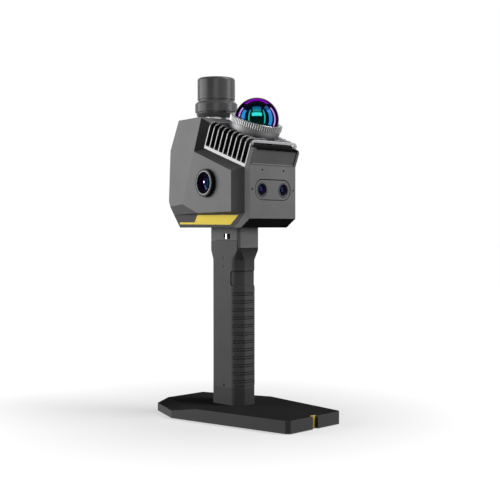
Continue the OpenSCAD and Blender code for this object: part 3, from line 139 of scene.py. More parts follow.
# ---- materials ----
class Finish:
    """Builds one material's nodes; every pattern reads Object coordinates in metres."""

    def __init__(self, name):
        self.material = bpy.data.materials.new(name)
        self.material.use_nodes = True
        self.tree = self.material.node_tree
        self.surface = self.tree.nodes["Principled BSDF"]
        self.coordinates = self.add("ShaderNodeTexCoord").outputs["Object"]

    def add(self, kind, **values):
        node = self.tree.nodes.new(kind)
        for key, value in values.items():
            setattr(node, key, value)
        return node

    def join(self, out, into):
        self.tree.links.new(out, into)

    def noise(self, size, detail=3.0, rough=0.55, stretch=None):
        """Noise with features of the given size in millimetres."""
        node = self.add("ShaderNodeTexNoise")
        node.inputs["Scale"].default_value = 1.0 / (size * MM)
        node.inputs["Detail"].default_value = detail
        node.inputs["Roughness"].default_value = rough
        if stretch:
            mapping = self.add("ShaderNodeMapping")
            mapping.inputs["Scale"].default_value = stretch
            self.join(self.coordinates, mapping.inputs["Vector"])
            self.join(mapping.outputs["Vector"], node.inputs["Vector"])
        else:
            self.join(self.coordinates, node.inputs["Vector"])
        return node.outputs["Fac"]

    def spread(self, value, low, high, from_low=0.0, from_high=1.0):
        node = self.add("ShaderNodeMapRange")
        ends = (("From Min", from_low), ("From Max", from_high), ("To Min", low), ("To Max", high))
        for key, number in ends:
            node.inputs[key].default_value = number
        self.join(value, node.inputs["Value"])
        return node.outputs["Result"]

    def math(self, operation, a, b):
        node = self.add("ShaderNodeMath", operation=operation)
        for value, socket in ((a, node.inputs[0]), (b, node.inputs[1])):
            if isinstance(value, (int, float)):
                socket.default_value = value
            else:
                self.join(value, socket)
        return node.outputs["Value"]

    def blend(self, share, low, high):
        """Colour between two, each a colour or a socket, by a share."""
        node = self.add("ShaderNodeMix", data_type="RGBA")
        self.join(share, node.inputs["Factor"])
        for value, socket in ((low, node.inputs[6]), (high, node.inputs[7])):
            if isinstance(value, (tuple, list)):
                socket.default_value = (*value[:3], 1.0)
            else:
                self.join(value, socket)
        return node.outputs[2]

    def soft_edges(self, radius):
        """Normal of the surface with its edges rounded, and how near an edge a point lies."""
        bevel = self.add("ShaderNodeBevel", samples=6)
        bevel.inputs["Radius"].default_value = radius * MM
        plain = self.add("ShaderNodeNewGeometry").outputs["Normal"]
        dot = self.add("ShaderNodeVectorMath", operation="DOT_PRODUCT")
        self.join(bevel.outputs["Normal"], dot.inputs[0])
        self.join(plain, dot.inputs[1])
        return bevel.outputs["Normal"], self.spread(dot.outputs["Value"], 1.0, 0.0, 0.8, 0.995)

    def bump(self, height, depth, normal=None):
        node = self.add("ShaderNodeBump")
        node.inputs["Distance"].default_value = depth * MM
        node.inputs["Strength"].default_value = 1.0
        self.join(height, node.inputs["Height"])
        if normal is not None:
            self.join(normal, node.inputs["Normal"])
        return node.outputs["Normal"]

    def local(self, place, tilt=0.0):
        """The point in millimetres in a frame that is tilted about X, as three sockets."""
        node = self.add("ShaderNodeMapping", vector_type="TEXTURE")
        node.inputs["Location"].default_value = place
        node.inputs["Rotation"].default_value = (math.radians(tilt), 0.0, 0.0)
        node.inputs["Scale"].default_value = (MM, MM, MM)
        self.join(self.coordinates, node.inputs["Vector"])
        split = self.add("ShaderNodeSeparateXYZ")
        self.join(node.outputs["Vector"], split.inputs["Vector"])
        return split.outputs

    def length(self, a, b):
        """Length of the two distances that are above zero."""
        squares = [self.math("POWER", self.math("MAXIMUM", v, 0.0), 2.0) for v in (a, b)]
        return self.math("SQRT", self.math("ADD", *squares), 0.0)

    def facing(self, low, high, from_low, from_high):
        """Spread of how far a face looks up, which is -1 for down and 1 for up."""
        split = self.add("ShaderNodeSeparateXYZ")
        self.join(self.add("ShaderNodeNewGeometry").outputs["Normal"], split.inputs["Vector"])
        return self.spread(split.outputs["Z"], low, high, from_low, from_high)

    def set(self, **values):
        """Constants or sockets on the surface shader, named with _ for a space."""
        for key, value in values.items():
            socket = self.surface.inputs[key.replace("_", " ")]
            if isinstance(value, (int, float)):
                socket.default_value = value
            elif isinstance(value, (tuple, list)):
                socket.default_value = (*value[:3], 1.0) if len(socket.default_value) == 4 else value
            else:
                self.join(value, socket)
        return self


def painted_shade_between_fins(f):
    """Mask of painted shade: 1 deep between the fins of the heat sink, 0 on its outside, ledges and ends."""
    x, u, n = f.local(TILT_PLACE, TILT)
    inward = f.length(f.math("SUBTRACT", f.math("ABSOLUTE", x, 0.0), SINK_HALF - SINK_ROUND),
                      f.math("ADD", n, SINK_ROUND))
    deep = f.spread(inward, 1.0, 0.0, SINK_ROUND - 1.5, SINK_ROUND - 0.6)
    end = f.math("ABSOLUTE", f.math("SUBTRACT", u, SINK_MIDDLE), 0.0)
    within = f.spread(end, 1.0, 0.0, SINK_HALF_LONG - 0.9, SINK_HALF_LONG - 0.4)
    above = f.spread(n, 0.0, 1.0, SINK_LEDGE + 0.2, SINK_LEDGE + 1.4)
    fins = f.math("DIVIDE", f.math("SUBTRACT", u, FIN_START), FIN_PITCH)
    along = f.math("MULTIPLY", f.math("FRACT", fins, 0.0), FIN_PITCH)
    side = f.spread(along, 0.0, 0.75, 0.85, 1.2)
    return f.math("MULTIPLY", f.math("MULTIPLY", f.math("MAXIMUM", deep, side), within), above)


def painted_shade_between_ribs(f):
    """Mask of painted shade: 1 in the valleys between the ring's ribs."""
    x, u, n = f.local(TILT_PLACE, TILT)
    out = f.math("SQRT", f.math("ADD", f.math("POWER", x, 2.0), f.math("POWER", u, 2.0)), 0.0)
    outside = f.spread(out, 0.0, 1.0, *VALLEY_STARTS)
    return f.math("MULTIPLY", outside, f.spread(out, 1.0, 0.0, *VALLEY_ENDS))


def painted_light_on_upright_sides(f):
    """Mask of painted light: 1 on faces that stand up, 0 on those that look up."""
    return f.facing(1.0, 0.0, 0.3, 0.9)


def painted_shade_on_undersides(f):
    """Mask of painted shade: 1 on faces that look down."""
    return f.facing(1.0, 0.0, -0.5, -0.36)


def painted_shade_on_leaning_sides(f):
    """Mask of painted shade: 1 on sides that lean downwards, and on faces that look down."""
    return f.facing(1.0, 0.0, -0.18, -0.12)


def painted_shade_on_roofs(f):
    """Mask of painted shade: 1 on faces that look up."""
    return f.facing(0.0, 1.0, 0.4, 0.6)


def painted_shade_on_sink_flanks(f):
    """Mask of painted shade: 1 on the outer faces at the heat sink's two sides."""
    across = f.math("ABSOLUTE", f.local(TILT_PLACE, TILT)[0], 0.0)
    return f.spread(across, 0.0, 1.0, SINK_HALF - 1.6, SINK_HALF - 0.4)


def painted_shadow_above_brow(f):
    """Mask of painted shadow: 1 on the front cover's rim above the brow's panel."""
    x, u, n = f.local(TILT_PLACE, TILT)
    above = f.spread(n, 0.0, 1.0, BROW_RIM, BROW_RIM + 0.3)
    return f.math("MULTIPLY", above, f.spread(u, 1.0, 0.0, *BROW_BACK))


def painted_shadow_round_camera_plate(f):
    """Mask of painted shadow: 1 along the outline of the front camera plate."""
    x, y, z = f.local((0.0, 0.0, FRONT_CAMERA_Z * MM))
    beyond = f.math("MAXIMUM", f.math("SUBTRACT", f.math("ABSOLUTE", x, 0.0), FRONT_CAMERA_X), 0.0)
    out = f.length(beyond, f.math("ABSOLUTE", z, 0.0))
    return f.spread(out, 0.0, 1.0, CAMERA_PLATE_R - 0.9, CAMERA_PLATE_R - 0.45)


def grained(name, colour, rough, grain=0.35, depth=0.02, edge=0.5, painted_edge_highlight=1.6, patch=0.06,
            over=(), **values):
    """Moulded or painted surface with a fine grain, faint patches and a painted highlight along its edges.

    Grain, depth and edge are in millimetres; over holds masks of painted shade and painted light, each with the
    colour that it brings.
    """
    f = Finish(name)
    normal, rim = f.soft_edges(edge)
    fine = f.noise(grain, 4.0)
    broad = f.noise(28.0, 3.0)
    dark = [c * (1 - patch) for c in colour]
    light = [c * (1 + patch) for c in colour]
    body = f.blend(f.spread(broad, 0.0, 1.0, 0.3, 0.7), dark, light)
    # Painted highlight along the edges, then the painted shade and light of the masks
    painted_light_and_shade = f.blend(f.math("MULTIPLY", rim, 0.8), body, [min(1.0, c * painted_edge_highlight) for c in colour])
    for mask, shade in over:
        painted_light_and_shade = f.blend(mask(f), painted_light_and_shade, shade)
    rough_map = f.spread(fine, rough - 0.06, rough + 0.06, 0.3, 0.7)
    f.set(Base_Color=painted_light_and_shade, Roughness=rough_map, Normal=f.bump(fine, depth, normal), **values)
    return f.material


def metal(name, colour, rough, grain=0.25, depth=0.01, edge=0.3, painted_edge_highlight=1.3, stretch=None,
          over=(), **values):
    """Metal with a blasted or, when stretched, a turned or brushed grain, a painted highlight along its edges, and
    masks of painted shade in over.
    """
    f = Finish(name)
    normal, rim = f.soft_edges(edge)
    fine = f.noise(grain, 3.0, 0.6, stretch)
    broad = f.noise(12.0, 3.0)
    dark = [c * 0.9 for c in colour]
    light = [min(1.0, c * 1.06) for c in colour]
    body = f.blend(f.spread(broad, 0.0, 1.0, 0.3, 0.7), dark, light)
    # Painted highlight along the edges, then the painted shade of the masks
    painted_light_and_shade = f.blend(f.math("MULTIPLY", rim, 0.9), body, [min(1.0, c * painted_edge_highlight) for c in colour])
    for mask, shade in over:
        painted_light_and_shade = f.blend(mask(f), painted_light_and_shade, shade)
    rough_map = f.spread(fine, rough - 0.07, rough + 0.08, 0.3, 0.7)
    f.set(Base_Color=painted_light_and_shade, Roughness=rough_map, Metallic=1.0, Normal=f.bump(fine, depth, normal), **values)
    return f.material


def glossy(name, colour, rough=0.06, ripple=0.002, **values):
    """Polished surface with the faintest waviness and dust."""
    f = Finish(name)
    dust = f.noise(1.5, 5.0, 0.7)
    shade = f.blend(f.spread(dust, 0.0, 1.0, 0.55, 0.8), colour, [min(1.0, c * 1.6 + 0.001) for c in colour])
    f.set(Base_Color=shade, Roughness=f.spread(dust, rough, rough + 0.05, 0.4, 0.8),
          Normal=f.bump(f.noise(9.0, 2.0), ripple), **values)
    return f.material


# Colour of an optical coating by the angle of its gloss: share of 1 - cos, and what it reflects
COATING = ((0.0, (0.03, 0.85, 0.75)), (0.09, (0.045, 0.9, 0.8)), (0.17, (0.015, 0.33, 0.8)),
           (0.3, (0.015, 0.28, 0.8)), (0.4, (0.58, 0.5, 0.87)), (0.62, (0.25, 0.01, 0.4)),
           (1.0, (0.1, 0.0, 0.2)))
COATING_EDGE = (0.5, 0.46, 0.52)


def coated(name, strength, edge=COATING_EDGE, rough=0.03, ripple=0.0006):
    """Black glass whose coating reflects little, in a colour that turns with the angle."""
    f = Finish(name)
    weight = f.add("ShaderNodeLayerWeight")
    ramp = f.add("ShaderNodeValToRGB")
    stops = ramp.color_ramp.elements
    while len(stops) < len(COATING):
        stops.new(0.5)
    for stop, (place, colour) in zip(stops, COATING):
        stop.position = place
        stop.color = (*[c * strength for c in colour], 1.0)
    f.join(weight.outputs["Facing"], ramp.inputs["Fac"])
    dust = f.noise(1.5, 5.0, 0.7)
    f.set(Base_Color=ramp.outputs["Color"], Metallic=1.0, Specular_Tint=edge,
          Roughness=f.spread(dust, rough, rough + 0.03, 0.4, 0.8), Normal=f.bump(f.noise(9.0, 2.0), ripple))
    return f.material


# Side covers: painted shade on sides that lean downwards and on faces that look up
cover_grey = grained("cover_grey", (0.145, 0.145, 0.147), 0.5, 0.3, 0.012, 0.7, 1.5,
                     over=((painted_shade_on_leaning_sides, (0.062, 0.062, 0.063)), (painted_shade_on_roofs, (0.083, 0.083, 0.084))),
                     Specular_IOR_Level=0.1)
# Front cover: painted shade on faces that look down, and a painted shadow on the rim above the brow
front_grey = grained("front_grey", (0.17, 0.17, 0.172), 0.5, 0.3, 0.012, 0.7, 1.5,
                     over=((painted_shade_on_undersides, (0.14, 0.14, 0.142)), (painted_shadow_above_brow, (0.01, 0.01, 0.0105))),
                     Specular_IOR_Level=0.0)
# Front camera plate: a painted shadow along its outline
plate_grey = grained("camera_plate_grey", (0.165, 0.165, 0.167), 0.5, 0.3, 0.012, 0.2, 1.3,
                     over=((painted_shadow_round_camera_plate, (0.008, 0.008, 0.009)),), Specular_IOR_Level=0.0)
ring_grey = grained("lens_ring_grey", (0.085, 0.085, 0.1), 0.45, 0.3, 0.004, 0.2, 1.3,
                    Specular_IOR_Level=0.05)
frame_black = grained("frame_black", (0.02, 0.02, 0.021), 0.45, 0.3, 0.01, 0.4)
grip_grey = grained("grip_grey", (0.072, 0.072, 0.074), 0.48, 0.3, 0.015, 0.6, 1.5, Specular_IOR_Level=0.08)
neck_grey = grained("neck_grey", (0.1, 0.1, 0.102), 0.48, 0.3, 0.015, 0.6, 1.5, Specular_IOR_Level=0.1)
foot_black = grained("foot_black", (0.05, 0.05, 0.051), 0.45, 0.3, 0.012, 0.5, Specular_IOR_Level=0.1)
rubber_black = grained("ribbed_rubber", (0.074, 0.074, 0.075), 0.62, 0.45, 0.03, 0.3, 1.7,
                       Specular_IOR_Level=0.08)
antenna_grey = grained("antenna_grey", (0.032, 0.032, 0.033), 0.3, 0.3, 0.004, 0.5, 1.2,
                       Specular_IOR_Level=0.17)
# Base plate: upright sides painted lighter than the top, as painted light
plate_black = grained("plate_black", (0.015, 0.015, 0.0155), 0.55, 0.25, 0.012, 0.8, 3.0,
                      over=((painted_light_on_upright_sides, (0.095, 0.095, 0.096)),), Specular_IOR_Level=0.0)
sole_rubber = grained("sole_rubber", (0.012, 0.012, 0.012), 0.75, 0.8, 0.05, Specular_IOR_Level=0.05)
stripe_yellow = grained("stripe_yellow", (0.86, 0.66, 0.085), 0.4, 0.3, 0.006, 0.15, 1.05, 0.03,
                        Specular_IOR_Level=0.15)
mark_yellow = grained("mark_yellow", (0.62, 0.42, 0.04), 0.45, 0.3, 0.006, 0.2, 1.1, 0.04)
trim_black = grained("trim_black", (0.022, 0.022, 0.024), 0.4, 0.3, 0.008, 0.3)
barrel_black = grained("barrel_black", (0.006, 0.006, 0.007), 0.34, 0.3, 0.006, 0.35, 4.0,
                       Specular_IOR_Level=0.12)
screw_black = metal("screw_black", (0.006, 0.006, 0.006), 0.5, 0.25, 0.006, 0.15, 2.0)
button_black = grained("button_black", (0.03, 0.03, 0.032), 0.55, 0.3, 0.012, 0.4)
board_green = grained("board_green", (0.012, 0.095, 0.035), 0.35, 0.6, 0.006, 0.1)
holder_ivory = grained("holder_ivory", (0.68, 0.66, 0.6), 0.45, 0.5, 0.01, 0.2, 1.1)
cell_blue = grained("cell_blue", (0.05, 0.21, 0.46), 0.3, 2.0, 0.004, 0.4, 1.2)
light_green = grained("light_green", (0.35, 0.68, 0.42), 0.25, 0.8, 0.002, 0.2, 1.1)
# Heat sink: painted shade on its two flanks and between its fins
silver = metal("blasted_silver", (0.36, 0.36, 0.37), 0.42, 0.3, 0.02, 0.35, 1.5,
               over=((painted_shade_on_sink_flanks, (0.13, 0.13, 0.133)), (painted_shade_between_fins, (0.035, 0.035, 0.036))))
cup_silver = metal("turned_silver", (0.12, 0.12, 0.123), 0.46, 0.25, 0.006, 0.25, 1.5,
                   Specular_Tint=(0.55, 0.55, 0.56))
# Knurled ring: painted shade in the valleys between its ribs
ring_silver = metal("ring_silver", (0.3, 0.3, 0.305), 0.3, 0.25, 0.012, 0.2, 1.6,
                    over=((painted_shade_between_ribs, (0.07, 0.07, 0.072)),))
rim_silver = metal("rim_silver", (0.1, 0.1, 0.105), 0.4, 0.25, 0.006, 0.2, 1.4)
core_silver = metal("core_silver", (0.36, 0.36, 0.37), 0.36, 0.3, 0.02, 0.35, 1.35)
black_metal = metal("black_metal", (0.03, 0.03, 0.032), 0.34, 0.25, 0.006, 0.25, 3.0)
dark_metal = metal("dark_metal", (0.09, 0.09, 0.095), 0.36, 0.25, 0.006, 0.25, 2.0)
steel = metal("steel", (0.56, 0.57, 0.58), 0.28, 0.2, 0.006, 0.2, 1.3, (1.0, 1.0, 6.0))
bright_steel = metal("bright_steel", (0.8, 0.8, 0.81), 0.16, 0.2, 0.003, 0.2, 1.15)
brass = metal("brass", (0.79, 0.58, 0.26), 0.3, 0.2, 0.006)
copper = metal("copper", (0.72, 0.36, 0.2), 0.3, 0.2, 0.006)
lens_black = glossy("lens_black", (0.0005, 0.0005, 0.001), 0.4, 0.0003, Specular_IOR_Level=0.0)
dome_coating = coated("dome_coating", 0.011)
side_coating = coated("side_lens_coating", 0.0035, (0.512, 0.48, 0.522))
front_coating = coated("front_lens_coating", 0.0018)

FINISHES = {
    "base_plate": plate_black, "ground_mark": mark_yellow, "base_sole": sole_rubber, "base_bolts": steel,
    "handle_foot": foot_black, "grip_tube": grip_grey, "grip_rubber": rubber_black,
    "grip_screws": black_metal, "battery_cells": cell_blue, "battery_holder": holder_ivory, "battery_contacts": brass,
    "trigger": rubber_black, "trigger_springs": bright_steel, "push_switches": trim_black,
    "neck_core": core_silver, "neck_block": neck_grey, "strap_pins": bright_steel, "neck_screws": steel,
    "head_frame": frame_black, "main_board": board_green, "receiver_board": board_green,
    "motion_sensor": brass, "data_port": bright_steel,
    "left_side_cover": cover_grey, "right_side_cover": cover_grey,
    "left_stripe": stripe_yellow, "right_stripe": stripe_yellow,
    "left_lens_barrel": barrel_black, "right_lens_barrel": barrel_black,
    "left_lens": lens_black, "right_lens": lens_black, "side_lens_rings": rim_silver,
    "left_camera_module": trim_black, "right_camera_module": trim_black,
    "front_cover": front_grey, "front_screws": screw_black, "front_camera_plate": plate_grey,
    "front_lens_rings": ring_grey, "front_lenses": lens_black, "front_camera_modules": trim_black,
    "heat_sink": silver, "lidar_body": black_metal, "lidar_cup": cup_silver, "lidar_ring": ring_silver,
    "lidar_dome": dome_coating, "lidar_motor": steel, "lidar_rotor": dark_metal, "lidar_mirror": bright_steel,
    "antenna_socket": steel, "antenna_base": antenna_grey, "antenna_radome": antenna_grey,
    "antenna_helix": copper, "rear_cover": foot_black, "rear_screws": black_metal,
    "status_light": light_green, "power_button": button_black, "power_spring": bright_steel,
    "port_flap": button_black, "flap_pin": bright_steel,
}
for node_name, finish in FINISHES.items():
    slots = cad[node_name].material_slots
    if not slots:
        cad[node_name].data.materials.append(finish)
    for one in slots:
        one.link = "OBJECT"
        one.material = finish


# ---- turned pieces ----
def smooth(mesh):
    mesh.shade_smooth()
    mesh.set_sharp_from_angle(angle=math.radians(34))


def lathe(name, profile, frame_at, finishes, inner=None, loop=False):
    """Mesh turned from (radius, height) points in millimetres; inner is where the second finish starts."""
    shape = bmesh.new()
    rows = []
    for r, h in profile:
        count = 1 if r == 0 else ROUND
        rows.append([shape.verts.new(Vector((r * math.cos(a), r * math.sin(a), h)) * MM)
                     for a in (2 * math.pi * k / ROUND for k in range(count))])
    pairs = list(zip(rows, rows[1:])) + ([(rows[-1], rows[0])] if loop else [])
    for number, (low, high) in enumerate(pairs):
        for k in range(ROUND):
            corners = [row[j % len(row)] for row, j in ((low, k), (low, k + 1), (high, k + 1), (high, k))]
            face = shape.faces.new(list(dict.fromkeys(corners)))
            face.material_index = int(inner is not None and number >= inner)
    bmesh.ops.recalc_face_normals(shape, faces=shape.faces)
    bmesh.ops.transform(shape, matrix=frame_at, verts=shape.verts)
    mesh = bpy.data.meshes.new(name)
    shape.to_mesh(mesh)
    shape.free()
    smooth(mesh)
    for finish in finishes:
        mesh.materials.append(finish)
    piece = bpy.data.objects.new(name, mesh)
    bpy.context.scene.collection.objects.link(piece)
    return piece


def arc(radius, height, start, stop, steps):
    """Points of an arc about the axis, from one angle above the level to another."""
    angles = [math.radians(start + (stop - start) * k / steps) for k in range(steps + 1)]
    return [(abs(round(radius * math.cos(a), 6)), height + radius * math.sin(a)) for a in angles]


def bulge(radius, low, rise, steps=10):
    """Points of a bulging glass from its rim to the middle of its face."""
    sphere = (radius ** 2 + rise ** 2) / (2 * rise)
    edge = math.asin(radius / sphere)
    angles = [edge * (1 - k / steps) for k in range(steps + 1)]
    return [(abs(round(sphere * math.sin(a), 6)), low + rise - sphere * (1 - math.cos(a))) for a in angles]


def hand_over(piece, node):
    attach(piece, "root")
    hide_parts(node)
    return piece


def rib_tree():
    """Geometry nodes that set upright ribs round a circle and join them to what is given."""
    tree = bpy.data.node_groups.new("ribs_round", "GeometryNodeTree")
    inputs = (("Geometry", "Geometry", None), ("Count", "Int", 72), ("Circle Radius", "Float", 0.03),
              ("Rib Radius", "Float", 0.0006), ("Rib Length", "Float", 0.006), ("Rib Middle", "Float", 0.01),
              ("Rib Sides", "Int", 12), ("Finish", "Material", None))
    for name, kind, value in inputs:
        socket = tree.interface.new_socket(name=name, in_out="INPUT", socket_type="NodeSocket" + kind)
        if value is not None:
            socket.default_value = value
    tree.interface.new_socket(name="Geometry", in_out="OUTPUT", socket_type="NodeSocketGeometry")
    add, join = tree.nodes.new, tree.links.new
    given = add("NodeGroupInput").outputs
    circle = add("GeometryNodeMeshCircle")
    join(given["Count"], circle.inputs["Vertices"])
    join(given["Circle Radius"], circle.inputs["Radius"])
    up = add("ShaderNodeCombineXYZ")
    join(given["Rib Middle"], up.inputs["Z"])
    lift = add("GeometryNodeTransform")
    join(circle.outputs["Mesh"], lift.inputs["Geometry"])
    join(up.outputs["Vector"], lift.inputs["Translation"])
    rib = add("GeometryNodeMeshCylinder")
    join(given["Rib Sides"], rib.inputs["Vertices"])
    join(given["Rib Radius"], rib.inputs["Radius"])
    join(given["Rib Length"], rib.inputs["Depth"])
    place = add("GeometryNodeInstanceOnPoints")
    join(lift.outputs["Geometry"], place.inputs["Points"])
    join(rib.outputs["Mesh"], place.inputs["Instance"])
    real = add("GeometryNodeRealizeInstances")
    join(place.outputs["Instances"], real.inputs["Geometry"])
    both = add("GeometryNodeJoinGeometry")
    join(given["Geometry"], both.inputs["Geometry"])
    join(real.outputs["Geometry"], both.inputs["Geometry"])
    finish = add("GeometryNodeSetMaterial")
    join(both.outputs["Geometry"], finish.inputs["Geometry"])
    join(given["Finish"], finish.inputs["Material"])
    join(finish.outputs["Geometry"], add("NodeGroupOutput").inputs["Geometry"])
    return tree


def run_nodes(piece, tree, values):
    """Runs a node tree on a piece once and keeps its plain mesh."""
    modifier = piece.modifiers.new("nodes", "NODES")
    modifier.node_group = tree
    for item in tree.interface.items_tree:
        if item.in_out == "INPUT" and item.name in values:
            modifier[item.identifier] = values[item.name]
    depsgraph = bpy.context.evaluated_depsgraph_get()
    made = bpy.data.meshes.new_from_object(piece.evaluated_get(depsgraph), depsgraph=depsgraph)
    piece.modifiers.clear()
    piece.data = made
    smooth(made)


# Glossy dome, a shell that is open below
DOME_SKIRT = DOME_N - 5.0
DOME_STEPS = 32
DOME_FOOT = [(DOME_R, DOME_SKIRT), (DOME_R - DOME_T, DOME_SKIRT)]
dome = lathe("scan_dome", arc(DOME_R, DOME_N, 90, 0, DOME_STEPS) + DOME_FOOT
             + arc(DOME_R - DOME_T, DOME_N, 0, 90, DOME_STEPS), TILTED, [dome_coating])
hand_over(dome, "lidar_dome")

# Knurled ring: a turned body, and ribs round it
ring_top = CUP_H + RING_H
RING_BODY = ((NECK_R, CUP_H), (28.9, CUP_H), (29.3, CUP_H + 0.4), (29.3, ring_top - 0.5), (28.8, ring_top),
             (25.6, ring_top), (25.05, ring_top - 0.5), (25.05, CUP_H + 2.0), (NECK_R, CUP_H + 2.0))
ring = lathe("knurled_ring", RING_BODY, Matrix(), [ring_silver], loop=True)
RIB_IN = 0.03     # how far the ribs stay inside the ring's radius
RIB_SHORT = 0.8   # how much shorter than the ring they are
run_nodes(ring, rib_tree(), {"Count": RIB_COUNT, "Circle Radius": (RING_R - RIB_R - RIB_IN) * MM,
                             "Rib Radius": RIB_R * MM, "Rib Length": (RING_H - RIB_SHORT) * MM,
                             "Rib Middle": (CUP_H + RING_H / 2) * MM, "Rib Sides": 12,
                             "Finish": ring_silver})
ring.data.transform(TILTED)
hand_over(ring, "lidar_ring")

# Smooth cup below it
CUP_STEPS = 24
quarter = [math.radians(90 * k / CUP_STEPS) for k in range(CUP_STEPS + 1)]
cup = lathe("laser_cup", [(NECK_R, CUP_H), (NECK_R, CUP_FOOT_N)]
            + [(CUP_FOOT_R + CUP_REACH * math.sin(a), CUP_FOOT_N + (CUP_H - CUP_FOOT_N) * (1 - math.cos(a)))
               for a in quarter], TILTED, [cup_silver], loop=True)
hand_over(cup, "lidar_cup")

# Side lenses: black steps down to a bulging coated element
SIDE_STEPS = [(0, 1.6), (11.8, 1.6), (11.8, 3.2), (11.2, 3.2), (10.8, 2.8), (10.0, 2.8), (9.7, 2.4),
              (8.9, 2.4), (8.6, 2.1)]
lenses = []
for side, node_name in ((-1, "left_lens"), (1, "right_lens")):
    lens = lathe(node_name + "_stack", SIDE_STEPS + bulge(8.0, 2.1, 1.7), side_camera_frame(side),
                 [lens_black, side_coating], inner=len(SIDE_STEPS))
    lenses.append(hand_over(lens, node_name))

# Front lenses, both in one piece as in their node
FRONT_STEPS = [(0, -2.5), (6.0, -2.5), (6.0, -1.1), (5.4, -1.1), (5.1, -1.5), (4.5, -1.5), (4.2, -1.9)]
pair = [lathe("front_lens_%d" % side, FRONT_STEPS + bulge(3.6, -1.9, 0.9), front_camera_frame(side),
              [lens_black, front_coating], inner=len(FRONT_STEPS)) for side in (-1, 1)]
joined = bmesh.new()
for one in pair:
    joined.from_mesh(one.data)
joined.to_mesh(pair[0].data)
joined.free()
bpy.data.objects.remove(pair[1])
pair[0].name = "front_lens_stacks"
lenses.append(hand_over(pair[0], "front_lenses"))


# ---- stage and light ----
def seen_ray(f):
    """1 for camera, glossy and transmission rays, else 0."""
    seen = f.add("ShaderNodeLightPath").outputs
    return f.math("MAXIMUM", f.math("MAXIMUM", seen["Is Camera Ray"], seen["Is Glossy Ray"]),
                  seen["Is Transmission Ray"])


def add_stage():
    """Pale floor that shows the shadow, and a world that looks white behind the object."""
    bpy.ops.mesh.primitive_plane_add(size=40.0)
    floor = bpy.context.object
    floor.name = "floor"
    f = Finish("floor_white")
    shown = seen_ray(f)
    far = f.add("ShaderNodeVectorMath", operation="LENGTH")
    f.join(f.coordinates, far.inputs[0])
    glow = f.spread(far.outputs["Value"], FLOOR_GLOW, 1.0, *FLOOR_FADE)
    shade = f.blend(shown, (FLOOR_BOUNCE,) * 3, (FLOOR_SHADE,) * 3)
    f.set(Base_Color=shade, Roughness=1.0, Specular_IOR_Level=0.0, Emission_Color=(1.0, 1.0, 1.0),
          Emission_Strength=f.math("MULTIPLY", shown, glow))
    floor.data.materials.append(f.material)

    world = bpy.data.worlds.new("studio")
    bpy.context.scene.world = world
    world.use_nodes = True
    nodes, links = world.node_tree.nodes, world.node_tree.links
    background = nodes["Background"]
    seen = nodes.new("ShaderNodeLightPath")
    top = nodes.new("ShaderNodeMath")
    top.operation = "MAXIMUM"
    links.new(seen.outputs["Is Camera Ray"], top.inputs[0])
    links.new(seen.outputs["Is Glossy Ray"], top.inputs[1])
    both = nodes.new("ShaderNodeMath")
    both.operation = "MAXIMUM"
    links.new(top.outputs[0], both.inputs[0])
    links.new(seen.outputs["Is Transmission Ray"], both.inputs[1])
    strength = nodes.new("ShaderNodeMapRange")
    strength.inputs["To Min"].default_value = WORLD_LIGHT
    strength.inputs["To Max"].default_value = 1.0
    links.new(both.outputs[0], strength.inputs["Value"])
    links.new(strength.outputs["Result"], background.inputs["Strength"])
    background.inputs["Color"].default_value = (1.0, 1.0, 1.0, 1.0)


# Strength of the world as a lamp; the floor's own glow near the object, and the distances in metres over
# which it rises to white; the floor's colour where it is seen, and where it only throws light back
WORLD_LIGHT = 0.05
FLOOR_GLOW = 0.56
FLOOR_FADE = (0.1, 0.45)
FLOOR_SHADE = 0.2
FLOOR_BOUNCE = 0.03
LIGHT_CENTRE = Vector((0.0, -0.02, 0.27))


def add_light(name, turn, rise, far, width, height, power, centre=LIGHT_CENTRE, only=None, passes=False):
    """Soft box that looks at the centre; turn is counted from the camera's side, in degrees.

    It lights only the pieces of the collection given, and passes says that no other piece shades them.
    """
    angle = math.radians(CAMERA_TURN + turn)
    up = math.radians(rise)
    out = Vector((math.sin(angle) * math.cos(up), -math.cos(angle) * math.cos(up), math.sin(up)))
    lamp = bpy.data.objects.new(name, bpy.data.lights.new(name, "AREA"))
    lamp.data.shape = "RECTANGLE"
    lamp.data.size = width
    lamp.data.size_y = height
    lamp.data.energy = power
    aim = out.to_track_quat("Z", "Y").to_matrix().to_4x4()
    lamp.matrix_world = Matrix.Translation(centre + out * far) @ aim
    lamp.visible_camera = False
    bpy.context.scene.collection.objects.link(lamp)
    if only:
        lamp.light_linking.receiver_collection = only
    if passes:
        lamp.light_linking.blocker_collection = only
    return lamp


bpy.context.scene.view_settings.view_transform = "Standard"
add_stage()
add_light("side_box", -88, 8, 1.3, 1.4, 0.75, 22)
add_light("front_box", 76, 45, 1.3, 0.5, 0.6, 24)

# The head shades the neck from the front box, and the ring shades the cup: both have a box of their own
shaded = bpy.data.collections.new("shaded")
shaded.objects.link(cad["neck_block"])
shaded.objects.link(cup)
add_light("low_fill", 66, 6, 1.3, 0.7, 0.5, 16, only=shaded)

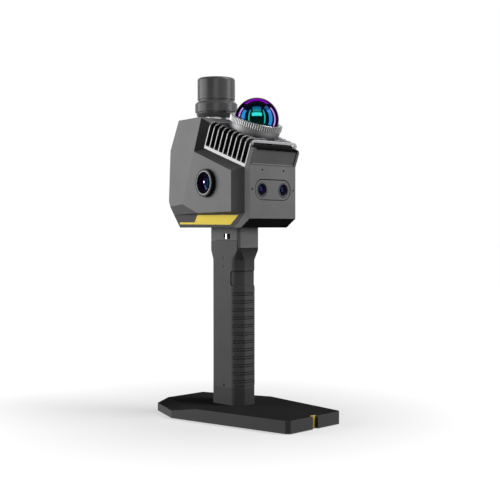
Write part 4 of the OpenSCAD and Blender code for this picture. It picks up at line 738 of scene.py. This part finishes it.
# Strips that only the dome and the front lenses mirror, each with its turn and rise in degrees,
# distance in metres, width and height in degrees, and radiance
polished = bpy.data.collections.new("polished")
for piece in (dome, lenses[2]):
    polished.objects.link(piece)
DOME_CENTRE = TILTED @ Vector((0.0, 0.0, DOME_N * MM))
STRIPS = {"window_low": (0, 24, 1.0, 50, 18, 80), "window_high": (0, 52, 1.0, 38, 30, 26),
          "top_band": (180, 60, 0.6, 60, 22, 50)}
for side in (-1, 1):
    STRIPS["thin_strip_%d" % side] = (side * 41, 12, 0.5, 7, 66, 45)
    STRIPS["near_strip_%d" % side] = (side * 76, 8, 0.5, 22, 62, 70)
    STRIPS["far_strip_%d" % side] = (side * 108, 8, 0.5, 13, 66, 95)
# Strips for the side lenses alone, and soft ones that the antenna's satin paint shows
LENS_CENTRE = Vector((0.0, SIDE_CAMERA_Y * MM, SIDE_CAMERA_Z * MM))
LENS_ARCS = {"outer_arc": (-129, 3, 0.6, 8, 50, 110), "blue_patch": (-90, -20, 0.6, 16, 24, 55),
             "inner_arc": (-70, 6, 0.6, 5, 44, 26), "glint": (-101, 6, 0.6, 7, 8, 1800)}
LENS_STRIPS = {}
for name, (turn, *rest) in LENS_ARCS.items():
    LENS_STRIPS["left_" + name] = (turn, *rest)
    LENS_STRIPS["right_" + name] = (-2 * CAMERA_TURN - turn, *rest)
ANTENNA_CENTRE = ANTENNA @ Vector((0.0, 0.0, 25 * MM))
BANDS = {"middle_band": (0, 2, 0.9, 26, 50, 3.6), "right_band": (84, 2, 0.9, 20, 50, 7)}
side_lenses = bpy.data.collections.new("side_lenses")
satin = bpy.data.collections.new("satin")
for piece in lenses[:2]:
    side_lenses.objects.link(piece)
for node_name in ("antenna_base", "antenna_radome"):
    satin.objects.link(cad[node_name])
for strips, centre, only in ((STRIPS, DOME_CENTRE, polished), (LENS_STRIPS, LENS_CENTRE, side_lenses),
                             (BANDS, ANTENNA_CENTRE, satin)):
    for name, (turn, rise, far, wide, high, radiance) in strips.items():
        width, height = [2 * far * math.tan(math.radians(v / 2)) for v in (wide, high)]
        add_light(name, turn, rise, far, width, height, radiance * math.pi * width * height, centre, only,
                  only is side_lenses)
